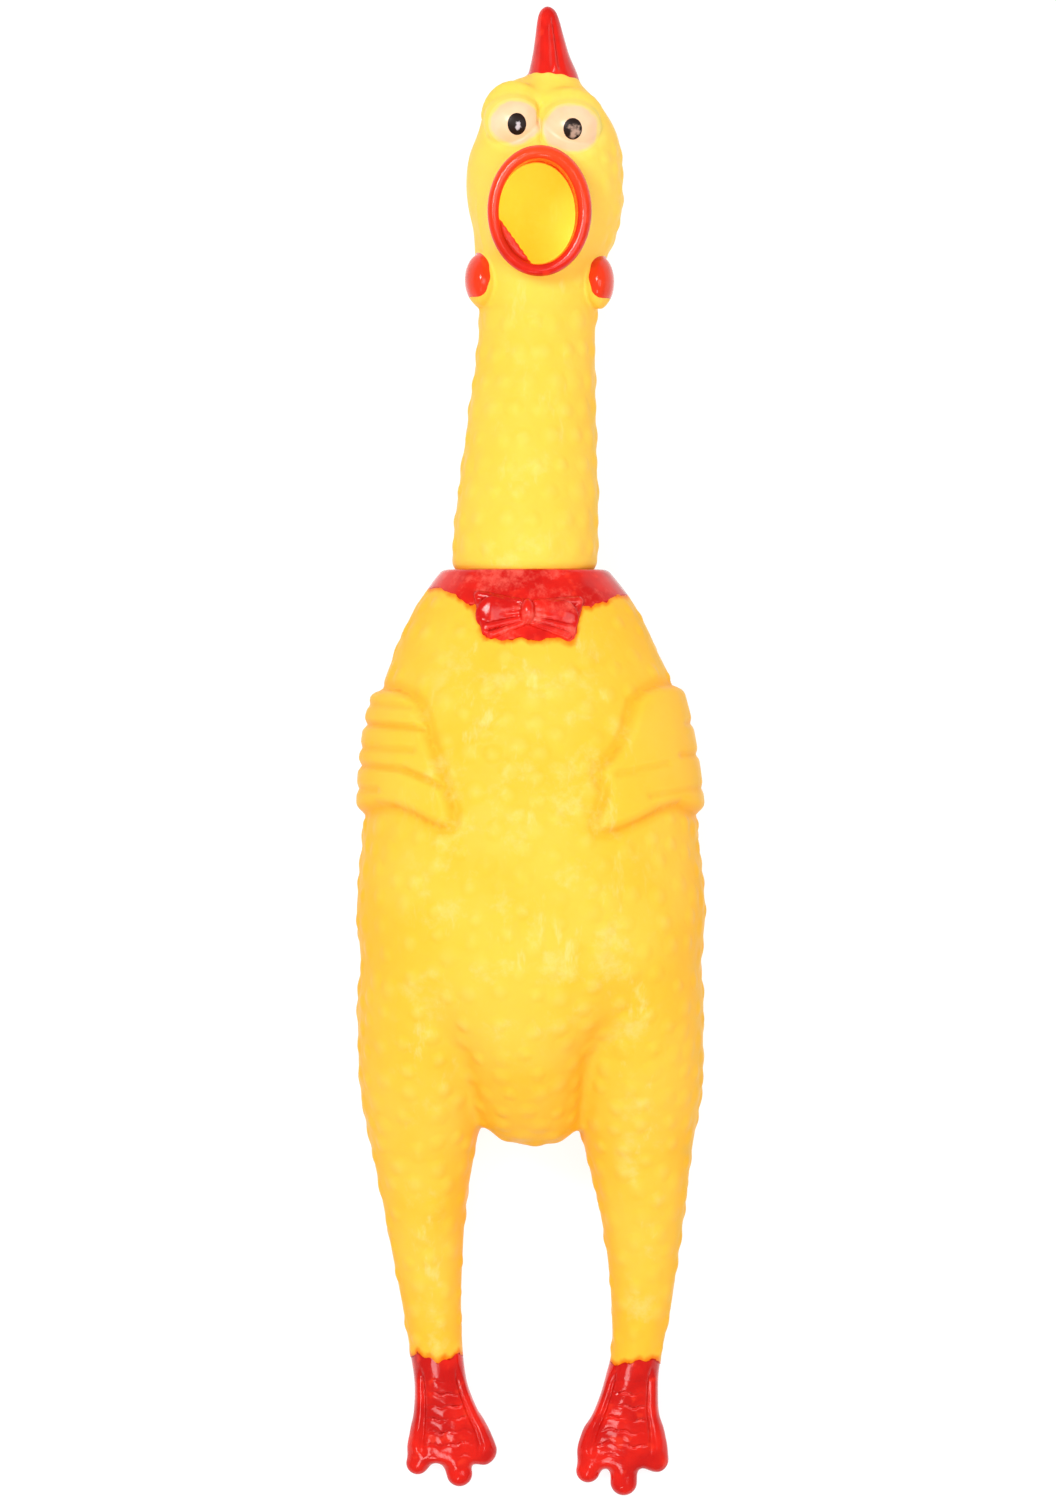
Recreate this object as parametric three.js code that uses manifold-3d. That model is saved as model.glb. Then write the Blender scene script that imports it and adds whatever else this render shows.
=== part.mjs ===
// A rubber chicken squeeze toy, lying on its back: a hollow soft body with legs, a separate hollow
// neck and head that plugs into the body's collar, and a reed sounder pressed into that plug.
// Millimetres. +Y runs from the feet to the comb, +Z is the chicken's front, +X is its left side.
// The origin is on the table, under the middle of the toy.

import * as THREE from "three";
import { mergeVertices } from "three/addons/utils/BufferGeometryUtils.js";
import Module from "manifold-3d";

const wasm = await Module();
wasm.setup();

// ---------------------------------------------------------------- driving dimensions

const WALL = 2.2; // thickness of the soft vinyl wall
const GAP = 0.3; // clearance between pieces that touch
const INLAY = 0.9; // depth that the eyes are let into the head

// A station is [y, x, z, half width, half depth]: one cross-section of a soft form.
const TORSO = [
  [-82.5, 0.3, 20.0, 1.5, 1.5],
  [-81.2, 0.3, 20.0, 7.5, 7.0],
  [-77.0, 0.2, 20.6, 12.5, 12.5],
  [-69.0, 0.0, 22.2, 16.5, 18.5],
  [-57.0, 0.0, 24.3, 28.0, 23.8],
  [-42.0, -0.2, 26.0, 36.0, 26.6],
  [-22.0, -0.3, 25.8, 34.8, 26.8],
  [-2.0, -0.6, 24.2, 32.8, 25.0],
  [12.0, -1.0, 22.8, 30.2, 22.6],
  [24.0, -1.4, 21.8, 26.0, 19.6],
  [33.0, -1.4, 21.2, 20.8, 17.0],
  [37.2, -1.5, 21.0, 17.6, 15.6],
];
const RIGHT_LEG = [
  [-128.5, -20.0, 7.8, 5.6, 6.0],
  [-117.0, -20.9, 10.2, 6.1, 6.8],
  [-106.0, -21.8, 12.8, 7.2, 8.0],
  [-95.0, -22.4, 15.4, 8.7, 9.8],
  [-84.0, -22.6, 17.8, 10.7, 12.0],
  [-70.0, -22.3, 19.6, 13.4, 14.2],
  [-55.0, -21.9, 20.8, 13.8, 14.5],
  [-40.0, -20.0, 22.0, 8.0, 8.0],
];
const LEFT_LEG = [
  [-128.5, 21.9, 7.8, 5.6, 6.0],
  [-117.0, 22.9, 10.2, 6.2, 6.8],
  [-106.0, 23.2, 12.8, 7.3, 8.0],
  [-95.0, 23.0, 15.4, 9.1, 9.8],
  [-84.0, 22.2, 17.8, 11.2, 12.0],
  [-70.0, 22.3, 19.6, 13.4, 14.2],
  [-55.0, 22.1, 20.8, 13.8, 14.5],
  [-40.0, 20.0, 22.0, 8.0, 8.0],
];
const NECK = [
  [37.6, -1.5, 21.0, 14.5, 14.5],
  [41.5, -1.5, 21.0, 15.0, 15.0],
  [51.0, -0.9, 20.4, 14.8, 14.8],
  [61.0, -0.4, 19.2, 14.0, 14.0],
  [72.0, 0.2, 17.8, 13.3, 13.3],
  [83.0, 0.9, 16.4, 12.5, 12.5],
  [94.0, 1.4, 15.2, 12.2, 12.2],
];
const HEAD = [
  [88.0, 1.1, 15.8, 10.5, 10.5],
  [93.0, 1.3, 15.3, 12.3, 12.4],
  [100.0, 1.9, 14.8, 13.4, 13.8],
  [108.0, 2.7, 14.6, 15.2, 15.0],
  [118.0, 2.7, 14.6, 16.3, 15.3],
  [127.0, 3.0, 14.6, 14.9, 14.6],
  [133.5, 2.6, 14.4, 12.2, 12.4],
  [138.5, 2.2, 14.2, 8.4, 9.0],
  [140.6, 2.0, 14.0, 3.0, 3.6],
];
const COMB = [
  [141.2, 4.8, 14.2, 5.2, 6.4],
  [145.0, 4.1, 14.2, 3.9, 4.8],
  [150.0, 3.8, 14.2, 2.7, 3.2],
  [154.0, 3.4, 14.2, 1.7, 1.9],
  [155.2, 3.3, 14.2, 0.5, 0.6],
];

const LEG_RINGS = 9;
const LEG_SEGMENTS = 14;

// Places along Y where one moulding is divided.
const COLLAR_FROM = 31.6; // the painted collar begins here
const COLLAR_TOP = TORSO.at(-1)[0];
const HIP_TOP = -85; // the legs bend between these two
const HIP_BOTTOM = -101;
const ANKLE = -128;
const NECK_BEND_BOTTOM = 50; // the neck bends between these two
const NECK_BEND_TOP = 72;

// The belly window, an ellipse in plan.
const BELLY = { x: 0, y: -30, halfWidth: 18, halfLength: 24 };

// The mouth, an ellipse on the front of the head.
const MOUTH = { x: 1.6, y: 112.2, halfWidth: 7.9, halfLength: 10.4 };
const SNOUT_FRONT = 34.5; // z of the snout's front edge
const LIP_RADIUS = 1.6;

// The neck's plug and the sounder in it share this axis.
const PLUG = { x: NECK[0][1], z: NECK[0][2] };
const COLLAR_HOLE = 12.9;
const PLUG_RADIUS = 12.6;
const PLUG_BORE = PLUG_RADIUS - 2;
const PLUG_END = 24;
const BEAD_RADIUS = 13.7;

// ---------------------------------------------------------------- materials

function finish(color, roughness) {
  return new THREE.MeshStandardMaterial({ color, roughness, metalness: 0 });
}
const YELLOW = finish(0xffd23c, 0.42);
const RED = finish(0xe81e1a, 0.22);
const CREAM = finish(0xf7e2c0, 0.38);
const BLACK = finish(0x15100e, 0.15);
const WHITE_PLASTIC = finish(0xeeeeea, 0.4);
const FILM = finish(0xd8d2bc, 0.3);

// ---------------------------------------------------------------- solids

// A closed three.js geometry as a manifold-3d solid.
function solid(geometry) {
  const bare = geometry.clone();
  bare.deleteAttribute("normal");
  bare.deleteAttribute("uv");
  const merged = mergeVertices(bare, 1e-3);
  return new wasm.Manifold(
    new wasm.Mesh({
      numProp: 3,
      vertProperties: new Float32Array(merged.attributes.position.array),
      triVerts: new Uint32Array(merged.index.array),
    }),
  );
}

// A solid as a named three.js mesh.
function piece(name, made, material) {
  const { vertProperties, triVerts } = made.getMesh();
  const geometry = new THREE.BufferGeometry();
  geometry.setAttribute("position", new THREE.BufferAttribute(vertProperties, 3));
  geometry.setIndex(new THREE.BufferAttribute(triVerts, 1));
  const mesh = new THREE.Mesh(geometry, material);
  mesh.name = name;
  return mesh;
}

// A soft form through a list of stations: a lathe of radius 1, its rings then moved and sized.
// grow makes it thicker all over, and a negative grow gives the hollow inside it.
function softForm(stations, grow = 0, rings = 12, segments = 20) {
  const centres = new THREE.CatmullRomCurve3(
    stations.map(([y, x, z]) => new THREE.Vector3(x, y, z)), false, "catmullrom", 0.5);
  const sizes = new THREE.CatmullRomCurve3(
    stations.map(([y, , , width, depth]) => new THREE.Vector3(width, y, depth)), false, "catmullrom", 0.5);
  const profile = [new THREE.Vector2(0, 0)];
  for (let ring = 0; ring <= rings; ring++) {
    profile.push(new THREE.Vector2(1, ring));
  }
  profile.push(new THREE.Vector2(0, rings));
  const form = new THREE.LatheGeometry(profile, segments);
  const points = form.attributes.position;
  for (let i = 0; i < points.count; i++) {
    const t = points.getY(i) / rings;
    const centre = centres.getPoint(t);
    const size = sizes.getPoint(t);
    points.setXYZ(
      i,
      centre.x + points.getX(i) * Math.max(size.x + grow, 0.2),
      centre.y + grow * (2 * t - 1),
      centre.z + points.getZ(i) * Math.max(size.z + grow, 0.2),
    );
  }
  return solid(form);
}

// A round piece about an axis along Y through (x, z), from its [radius, y] outline.
function turned(outline, { x, z }, segments = 20) {
  const profile = outline.map(([radius, y]) => new THREE.Vector2(radius, y));
  return solid(new THREE.LatheGeometry(profile, segments).translate(x, 0, z));
}

function ellipsoid([x, y, z], [a, b, c], tilt = 0, segments = 14) {
  const form = new THREE.SphereGeometry(1, segments, segments * 0.6);
  form.scale(a, b, c).rotateZ(tilt).translate(x, y, z);
  return solid(form);
}

// A rounded bar between two points, flattened in z.
function toe(from, to, radius, flatness = 0.8) {
  const start = new THREE.Vector3(...from);
  const end = new THREE.Vector3(...to);
  const along = end.clone().sub(start);
  const bar = new THREE.CapsuleGeometry(radius, along.length(), 3, 10);
  bar.scale(1, 1, flatness);
  bar.applyQuaternion(
    new THREE.Quaternion().setFromUnitVectors(new THREE.Vector3(0, 1, 0), along.clone().normalize()));
  bar.translate(...start.add(end).multiplyScalar(0.5).toArray());
  return solid(bar);
}

function box([x0, y0, z0], [x1, y1, z1]) {
  const form = new THREE.BoxGeometry(x1 - x0, y1 - y0, z1 - z0);
  return solid(form.translate((x0 + x1) / 2, (y0 + y1) / 2, (z0 + z1) / 2));
}

// Everything between two values of y.
const REACH = 200;
function slice(from, to) {
  return box([-REACH, from, -REACH], [REACH, to, REACH]);
}

// An upright elliptic prism between two values of z.
function prism({ x, y, halfWidth, halfLength }, z0, z1, grow = 0) {
  const form = new THREE.CylinderGeometry(1, 1, z1 - z0, 24);
  form.rotateX(Math.PI / 2).scale(halfWidth + grow, halfLength + grow, 1);
  return solid(form.translate(x, y, (z0 + z1) / 2));
}

const UNDER_TABLE = box([-REACH, -REACH, -REACH], [REACH, REACH, 0]);

// ---------------------------------------------------------------- body moulding

function bodyForm(grow) {
  return softForm(TORSO, grow, 13, 20)
    .add(softForm(RIGHT_LEG, grow, LEG_RINGS, LEG_SEGMENTS))
    .add(softForm(LEFT_LEG, grow, LEG_RINGS, LEG_SEGMENTS));
}

const bodyOuter = bodyForm(0).subtract(UNDER_TABLE);
const bodyShell = bodyOuter
  .subtract(bodyForm(-WALL))
  .subtract(turned([[0, 30], [COLLAR_HOLE, 30], [COLLAR_HOLE, 40], [0, 40]], PLUG));
const bodySeat = bodyForm(GAP); // what lies on the body is cut by this

function bodyParts() {
  const window = prism(BELLY, 26, 60, GAP / 2);
  const panel = prism(BELLY, 26, 60, -GAP / 2);
  return [
    piece("torso_shell", bodyShell.intersect(slice(HIP_TOP, COLLAR_FROM - GAP)).subtract(window), YELLOW),
    piece("belly_panel", bodyShell.intersect(panel), YELLOW),
    piece("collar", bodyShell.intersect(slice(COLLAR_FROM, COLLAR_TOP)), RED),
  ];
}

// Each wing is a low relief on the body: a shoulder and the feathers fanned below it.
// A feather is [centre x, centre y, half length, half width, tilt in degrees].
const WING_RELIEF = 1.8;
const WING_MIDDLE = 34; // z where the ellipsoids of a wing are centred
const WING_REACH = 17; // their half size in z
const RIGHT_WING = [
  [-30.5, 3.5, 8.5, 8.5, 0],
  [-25.5, -1.5, 11.0, 4.4, -40],
  [-26.0, -6.5, 12.5, 4.4, -34],
  [-27.0, -12.0, 13.0, 4.4, -26],
];
const LEFT_WING = [
  [29.0, 4.0, 8.5, 9.0, 0],
  [24.0, -3.0, 14.0, 6.0, 52],
  [25.0, -10.0, 14.0, 5.0, 24],
];

function wing(name, feathers) {
  const made = feathers
    .map(([x, y, halfLength, halfWidth, tilt]) => ellipsoid(
      [x, y, WING_MIDDLE], [halfLength, halfWidth, WING_REACH], THREE.MathUtils.degToRad(tilt)))
    .reduce((all, feather) => all.add(feather));
  return piece(name, made.intersect(bodyForm(WING_RELIEF)).subtract(bodySeat), YELLOW);
}

// A bow laid on the chest under the collar: two flared loops and a knot.
const BOW = { x: -1.4, y: 29, halfWidth: 11.2, back: 34, front: 42 };

function bowTie() {
  const outline = [
    [-1, 5.2], [-0.84, -5.4], [-0.2, -3.2], [0.2, -3.2], [0.84, -5.8], [0.98, 3.6], [0.2, 3.2], [-0.2, 3.4],
  ];
  const shape = new THREE.Shape(outline.map(([side, y]) => new THREE.Vector2(side * BOW.halfWidth, y)));
  const loops = new THREE.ExtrudeGeometry(shape, { depth: BOW.front - BOW.back, bevelEnabled: false });
  const knot = ellipsoid([BOW.x, BOW.y - 0.4, BOW.front - 1], [1.9, 3.8, 2.4]);
  const curved = bodyForm(1.6);
  const made = solid(loops.translate(BOW.x, BOW.y, BOW.back))
    .intersect(curved)
    .add(knot)
    .subtract(bodySeat);
  return piece("bow_tie", made, RED);
}

function legParts(side, stations, tips) {
  const outer = softForm(stations, 0, LEG_RINGS, LEG_SEGMENTS);
  const shell = outer.subtract(softForm(stations, -WALL, LEG_RINGS, LEG_SEGMENTS));
  const hip = shell.intersect(slice(HIP_BOTTOM + GAP / 2, HIP_TOP - GAP));
  const leg = shell.intersect(slice(ANKLE + GAP / 2, HIP_BOTTOM - GAP / 2));
  const [, x, z] = stations[0];
  const heel = [x, ANKLE - 9, z - 2.2];
  const ankle = solid(
    new THREE.CylinderGeometry(5.6, 5.2, 12, 14)
      .scale(1, 1, 1.05)
      .translate(x, ANKLE - GAP / 2 - 6, z - 0.4));
  const outline = [[x - 5, ANKLE - 5], ...tips.map(([tx, ty]) => [tx, ty + 2]), [x + 5, ANKLE - 5]];
  const web = new THREE.Shape(outline.map(([px, py]) => new THREE.Vector2(px, py)));
  const sole = solid(new THREE.ExtrudeGeometry(web, { depth: WEB, bevelEnabled: false }));
  const foot = tips
    .map((tip) => toe(heel, tip, 3.0))
    .reduce((all, next) => all.add(next), ankle.add(sole))
    .subtract(UNDER_TABLE);
  return [
    piece(`${side}_hip_bend`, hip, YELLOW),
    piece(`${side}_leg_shell`, leg, YELLOW),
    piece(`${side}_foot`, foot, RED),
  ];
}

const WEB = 3.6; // thickness of the web between the toes
const RIGHT_TOES = [[-23.2, -148.8, 2.3], [-15.4, -151.4, 2.3], [-10.8, -146.4, 2.3]];
const LEFT_TOES = [[11.8, -149.8, 2.3], [19.2, -152.2, 2.3], [25.8, -148.4, 2.3]];

// ---------------------------------------------------------------- neck and head moulding

const neckOuter = softForm(NECK);
const neckInner = softForm(NECK, -WALL);
const plug = turned([
  [0, PLUG_END], [PLUG_RADIUS, PLUG_END], [PLUG_RADIUS, 30.0], [BEAD_RADIUS, 31.0], [BEAD_RADIUS, 33.6],
  [PLUG_RADIUS, 34.6], [PLUG_RADIUS, COLLAR_TOP + 2], [0, COLLAR_TOP + 2],
], PLUG);
const plugBore = turned([[0, PLUG_END - 1], [PLUG_BORE, PLUG_END - 1], [PLUG_BORE, 46], [0, 46]], PLUG);

const snout = prism(MOUTH, 16, SNOUT_FRONT, WALL);

function headForm(grow) {
  return softForm(HEAD, grow).add(softForm(NECK, grow));
}

const EYES = {
  right: { centre: [-3.9, 131.0, 25.6], pupil: [-3.3, 130.2, 29.3] },
  left: { centre: [7.8, 130.4, 25.6], pupil: [8.4, 129.6, 29.3] },
};
const EYE_SIZE = [5.5, 5.6, 3.8];
const PUPIL_SIZE = [1.9, 2.1, 1.0];
const WATTLES = {
  right: [-11.2, 98.6, 17.0],
  left: [14.2, 98.4, 17.0],
};
const WATTLE_SIZE = [3.6, 5.0, 5.6];

function grown(sizes, by) {
  return sizes.map((size) => size + by);
}

function neckBase() {
  const made = neckOuter.add(plug).subtract(neckInner).subtract(plugBore);
  return piece("neck_base_shell", made.intersect(slice(PLUG_END, NECK_BEND_BOTTOM - GAP / 2)), YELLOW);
}

function neckBend() {
  const bend = slice(NECK_BEND_BOTTOM + GAP / 2, NECK_BEND_TOP - GAP / 2);
  return piece("neck_bend", neckOuter.subtract(neckInner).intersect(bend), YELLOW);
}

function headParts() {
  const sockets = Object.values(EYES).reduce(
    (form, { centre }) => form.subtract(ellipsoid(centre, grown(EYE_SIZE, GAP))), headForm(0));
  const shell = sockets
    .add(headForm(-INLAY - GAP))
    .add(snout)
    .subtract(headForm(-WALL))
    .subtract(prism(MOUTH, 14, 60))
    .subtract(UNDER_TABLE)
    .intersect(slice(NECK_BEND_TOP + GAP / 2, REACH));
  const lip = new THREE.TorusGeometry(MOUTH.halfWidth, LIP_RADIUS, 6, 20);
  const points = lip.attributes.position;
  for (let i = 0; i < points.count; i++) {
    const [px, py] = [points.getX(i), points.getY(i)];
    const out = Math.hypot(px, py) - MOUTH.halfWidth + LIP_RADIUS * 0.9;
    const angle = Math.atan2(py, px);
    points.setXY(
      i,
      (MOUTH.halfWidth + out) * Math.cos(angle),
      (MOUTH.halfLength + out) * Math.sin(angle),
    );
  }
  const front = box([-REACH, -REACH, SNOUT_FRONT + GAP], [REACH, REACH, REACH]);
  const rim = solid(lip.translate(MOUTH.x, MOUTH.y, SNOUT_FRONT + 0.9)).intersect(front);
  const parts = [
    piece("head_shell", shell, YELLOW),
    piece("beak_rim", rim, RED),
    piece("comb", softForm(COMB, 0, 7, 14), RED),
  ];
  for (const [side, { centre, pupil }] of Object.entries(EYES)) {
    const eye = ellipsoid(centre, EYE_SIZE)
      .subtract(headForm(-INLAY))
      .subtract(ellipsoid(pupil, grown(PUPIL_SIZE, GAP)));
    parts.push(piece(`${side}_eye`, eye, CREAM));
    parts.push(piece(`${side}_pupil`, ellipsoid(pupil, PUPIL_SIZE, 0, 10), BLACK));
    const wattle = ellipsoid(WATTLES[side], WATTLE_SIZE).subtract(headForm(GAP));
    parts.push(piece(`${side}_wattle`, wattle, RED));
  }
  return parts;
}

// ---------------------------------------------------------------- sounder

const HOUSING = {
  flange: 12.3, outer: PLUG_BORE - GAP, inner: 8.8, exit: 3.2, // radii
  bottom: 21.5, top: 44, wall: 1.6,
};
const GRILLE = { holes: 6, holeRadius: 1.5, holeCircle: 5.2 };
const REED_TUBE = { radius: 4.4, bore: 2.2, bottom: 27, flat: 1.6, slotWidth: 2, slotLength: 9 };
const CLAMP = { halfWidth: 2.9, thickness: 1.6 };
const TONGUE = { width: 5, thickness: 0.4, length: 12.5, root: 39.2, openAngle: 5 };

function sounderParts() {
  const { flange, outer, inner, bottom, top, exit, wall } = HOUSING;
  const seat = PLUG_END - GAP; // the flange's top face
  const housing = turned([
    [inner, bottom], [flange, bottom], [flange, seat], [outer, seat], [outer, top], [exit, top],
    [exit, top - wall], [inner, top - wall], [inner, bottom],
  ], PLUG);

  let cap = turned([[0, bottom], [inner - GAP, bottom], [inner - GAP, bottom + 2], [0, bottom + 2]], PLUG);
  const { holes, holeRadius, holeCircle } = GRILLE;
  for (let i = 0; i < holes; i++) {
    const angle = (i / holes) * 2 * Math.PI;
    const at = { x: PLUG.x + holeCircle * Math.cos(angle), z: PLUG.z + holeCircle * Math.sin(angle) };
    const hole = [[0, bottom - 1], [holeRadius, bottom - 1], [holeRadius, bottom + 3], [0, bottom + 3]];
    cap = cap.subtract(turned(hole, at, 8));
  }

  const wallFace = top - wall - GAP;
  const flatZ = PLUG.z + REED_TUBE.flat;
  const { radius, bore, slotWidth, slotLength } = REED_TUBE;
  const slotFrom = REED_TUBE.bottom + 2.5;
  const tube = turned([
    [0, REED_TUBE.bottom], [radius, REED_TUBE.bottom], [radius, wallFace], [exit - GAP, wallFace],
    [exit - GAP, top + 1.5], [0, top + 1.5],
  ], PLUG, 16)
    .subtract(box([PLUG.x - 9, REED_TUBE.bottom - 1, flatZ], [PLUG.x + 9, wallFace - 0.4, PLUG.z + 9]))
    .subtract(turned([[0, slotFrom], [bore, slotFrom], [bore, top + 3], [0, top + 3]],
      { x: PLUG.x, z: PLUG.z - 1 }, 10))
    .subtract(box(
      [PLUG.x - slotWidth / 2, slotFrom, PLUG.z - 1],
      [PLUG.x + slotWidth / 2, slotFrom + slotLength, flatZ + 1]));

  const { width, thickness, length, root, openAngle } = TONGUE;
  const tongue = new THREE.BoxGeometry(width, length, thickness)
    .translate(0, 2 - length / 2, thickness / 2)
    .rotateX(THREE.MathUtils.degToRad(-openAngle))
    .translate(PLUG.x, root, flatZ + GAP + 0.2);
  const clampFrom = flatZ + GAP + 0.2 + thickness + GAP;
  const clamp = box(
    [PLUG.x - CLAMP.halfWidth, root - 0.6, clampFrom],
    [PLUG.x + CLAMP.halfWidth, wallFace - 0.5, clampFrom + CLAMP.thickness]);
  return {
    fixed: [
      piece("sounder_housing", housing, WHITE_PLASTIC),
      piece("sounder_grille", cap, WHITE_PLASTIC),
      piece("reed_tube", tube, WHITE_PLASTIC),
      piece("reed_clamp", clamp, WHITE_PLASTIC),
    ],
    tongue: piece("reed_tongue", solid(tongue), FILM),
  };
}

// ---------------------------------------------------------------- the chicken

const sounder = sounderParts();
const chicken = new THREE.Group();
chicken.add(
  ...bodyParts(),
  wing("right_wing", RIGHT_WING),
  wing("left_wing", LEFT_WING),
  bowTie(),
  ...legParts("right", RIGHT_LEG, RIGHT_TOES),
  ...legParts("left", LEFT_LEG, LEFT_TOES),
  neckBase(),
  neckBend(),
  ...headParts(),
  ...sounder.fixed,
  sounder.tongue,
);

export default chicken;
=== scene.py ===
"""A yellow rubber chicken lying on its back, seen straight from above.

The soft skins are made as distance fields in millimetres, in the row frame: +Y towards the comb,
+Z out of the chicken's front, +X towards its left side. Each field is turned into a mesh, divided
along painted edges and bends, raised into pimples and wrinkles, and then scaled to metres.
"""

import math

import bpy
import numpy as np
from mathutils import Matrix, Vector


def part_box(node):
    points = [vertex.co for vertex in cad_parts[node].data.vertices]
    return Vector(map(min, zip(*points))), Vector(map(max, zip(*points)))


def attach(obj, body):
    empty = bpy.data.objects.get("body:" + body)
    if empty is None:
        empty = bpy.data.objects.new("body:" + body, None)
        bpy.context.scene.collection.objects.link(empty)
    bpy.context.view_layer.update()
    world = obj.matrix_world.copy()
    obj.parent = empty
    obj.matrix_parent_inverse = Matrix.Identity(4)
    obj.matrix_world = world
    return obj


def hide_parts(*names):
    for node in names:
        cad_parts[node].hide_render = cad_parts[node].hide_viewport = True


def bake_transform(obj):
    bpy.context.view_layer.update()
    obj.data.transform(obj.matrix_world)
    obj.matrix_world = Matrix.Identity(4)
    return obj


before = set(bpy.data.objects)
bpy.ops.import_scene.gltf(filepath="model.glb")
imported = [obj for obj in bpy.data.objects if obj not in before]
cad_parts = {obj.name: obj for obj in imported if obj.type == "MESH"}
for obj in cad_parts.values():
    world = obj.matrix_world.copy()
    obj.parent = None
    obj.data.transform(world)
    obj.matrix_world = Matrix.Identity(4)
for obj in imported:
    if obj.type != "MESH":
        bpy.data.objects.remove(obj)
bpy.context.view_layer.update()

MM = 0.001
scene = bpy.context.scene


def node_box(name):
    """Centre and half size of a CAD node at rest, in millimetres."""
    low, high = (np.array(corner, float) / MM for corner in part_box(name))
    return (low + high) / 2, (high - low) / 2


# ---------------------------------------------------------------- camera

CAMERA_LENS = 300.0  # millimetres, with the sensor's 36 mm along the picture's height
CAMERA_SENSOR = 36.0
PICTURE_HEIGHT = 312.4  # millimetres of the object's middle plane that the picture covers
MIDDLE_PLANE = 22.0
CAMERA_AT = (-0.8, 0.0)

camera = bpy.data.objects.new("camera", bpy.data.cameras.new("camera"))
scene.collection.objects.link(camera)
camera.data.sensor_width = CAMERA_SENSOR
camera.data.lens = CAMERA_LENS
camera.data.clip_end = 20
camera_height = MIDDLE_PLANE + PICTURE_HEIGHT * CAMERA_LENS / CAMERA_SENSOR
camera.location = Vector((*CAMERA_AT, camera_height)) * MM
scene.camera = camera

# ---------------------------------------------------------------- dimensions, in millimetres

WALL = 2.2  # thickness of the vinyl
CONTACT = 0.7  # rounding where the toy is flattened against the table

# Stations along Y: y, centre x, centre z, half width, half depth.
TORSO = [
    (-82.6, 0.4, 21.8, 2.0, 2.5),
    (-81.6, 0.3, 21.9, 5.6, 5.2),
    (-79.4, 0.0, 22.2, 9.0, 8.6),
    (-75.6, -0.8, 22.9, 11.2, 12.8),
    (-70.0, -1.3, 23.9, 12.8, 17.2),
    (-62.0, -1.5, 24.9, 17.0, 21.6),
    (-54.0, -0.6, 25.5, 26.0, 24.4),
    (-46.0, -0.2, 25.8, 33.0, 26.2),
    (-38.0, -0.2, 25.9, 35.9, 26.8),
    (-28.0, -0.2, 25.8, 35.9, 26.8),
    (-20.0, -0.3, 25.5, 35.0, 26.4),
    (-12.0, -0.3, 25.0, 34.6, 25.8),
    (-2.0, -0.6, 24.2, 33.7, 25.0),
    (8.0, -0.8, 23.2, 31.9, 23.6),
    (14.4, -0.8, 22.6, 29.9, 22.2),
    (19.6, -1.1, 22.1, 27.6, 20.8),
    (24.8, -1.2, 21.8, 25.4, 19.4),
    (30.0, -1.3, 21.3, 22.7, 18.0),
    (33.4, -1.3, 21.1, 20.4, 17.0),
    (35.5, -1.4, 21.0, 18.8, 16.0),
    (37.4, -1.4, 21.0, 17.2, 15.2),
]
# Both legs: y, centre z, half depth, then the right leg's centre x and half width, and the left's.
LEGS = [
    (-135.0, 6.2, 5.1, (-18.9, 5.6), (20.5, 6.0)),
    (-127.0, 8.0, 5.9, (-19.9, 5.5), (21.9, 5.3)),
    (-117.0, 10.2, 6.8, (-20.9, 6.1), (22.9, 6.2)),
    (-106.0, 12.8, 8.0, (-21.8, 7.3), (23.2, 7.4)),
    (-95.0, 15.4, 9.8, (-22.4, 8.7), (23.0, 9.1)),
    (-84.0, 17.8, 12.0, (-22.6, 10.7), (22.3, 11.1)),
    (-70.0, 21.0, 16.2, (-22.5, 13.3), (21.9, 13.6)),
    (-60.0, 22.9, 18.6, (-21.9, 14.3), (21.3, 14.4)),
    (-50.0, 24.6, 20.6, (-20.9, 15.2), (20.3, 15.3)),
    (-38.0, 25.5, 21.4, (-19.2, 14.6), (19.0, 14.6)),
    (-28.0, 25.8, 19.5, (-18.0, 12.0), (18.0, 12.0)),
]
RIGHT_LEG = [(y, x, z, half_width, half_depth) for y, z, half_depth, (x, half_width), _ in LEGS]
LEFT_LEG = [(y, x, z, half_width, half_depth) for y, z, half_depth, _, (x, half_width) in LEGS]
RIGHT_FOOT = [
    (-150.0, -16.8, 3.0, 7.4, 2.4),
    (-147.0, -16.9, 3.5, 8.9, 2.9),
    (-143.4, -17.2, 4.1, 8.3, 3.5),
    (-139.0, -18.0, 5.0, 6.8, 4.3),
    (-133.4, -19.0, 6.4, 5.6, 5.2),
    *RIGHT_LEG[1:3],
]
LEFT_FOOT = [
    (-151.0, 18.8, 3.0, 7.8, 2.4),
    (-147.6, 18.9, 3.5, 9.2, 2.9),
    (-143.6, 19.2, 4.1, 8.6, 3.5),
    (-139.2, 19.8, 5.0, 6.9, 4.2),
    (-135.0, 20.5, 6.0, 6.0, 4.9),
    (-131.0, 21.1, 7.0, 5.5, 5.5),
    *LEFT_LEG[1:3],
]
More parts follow.
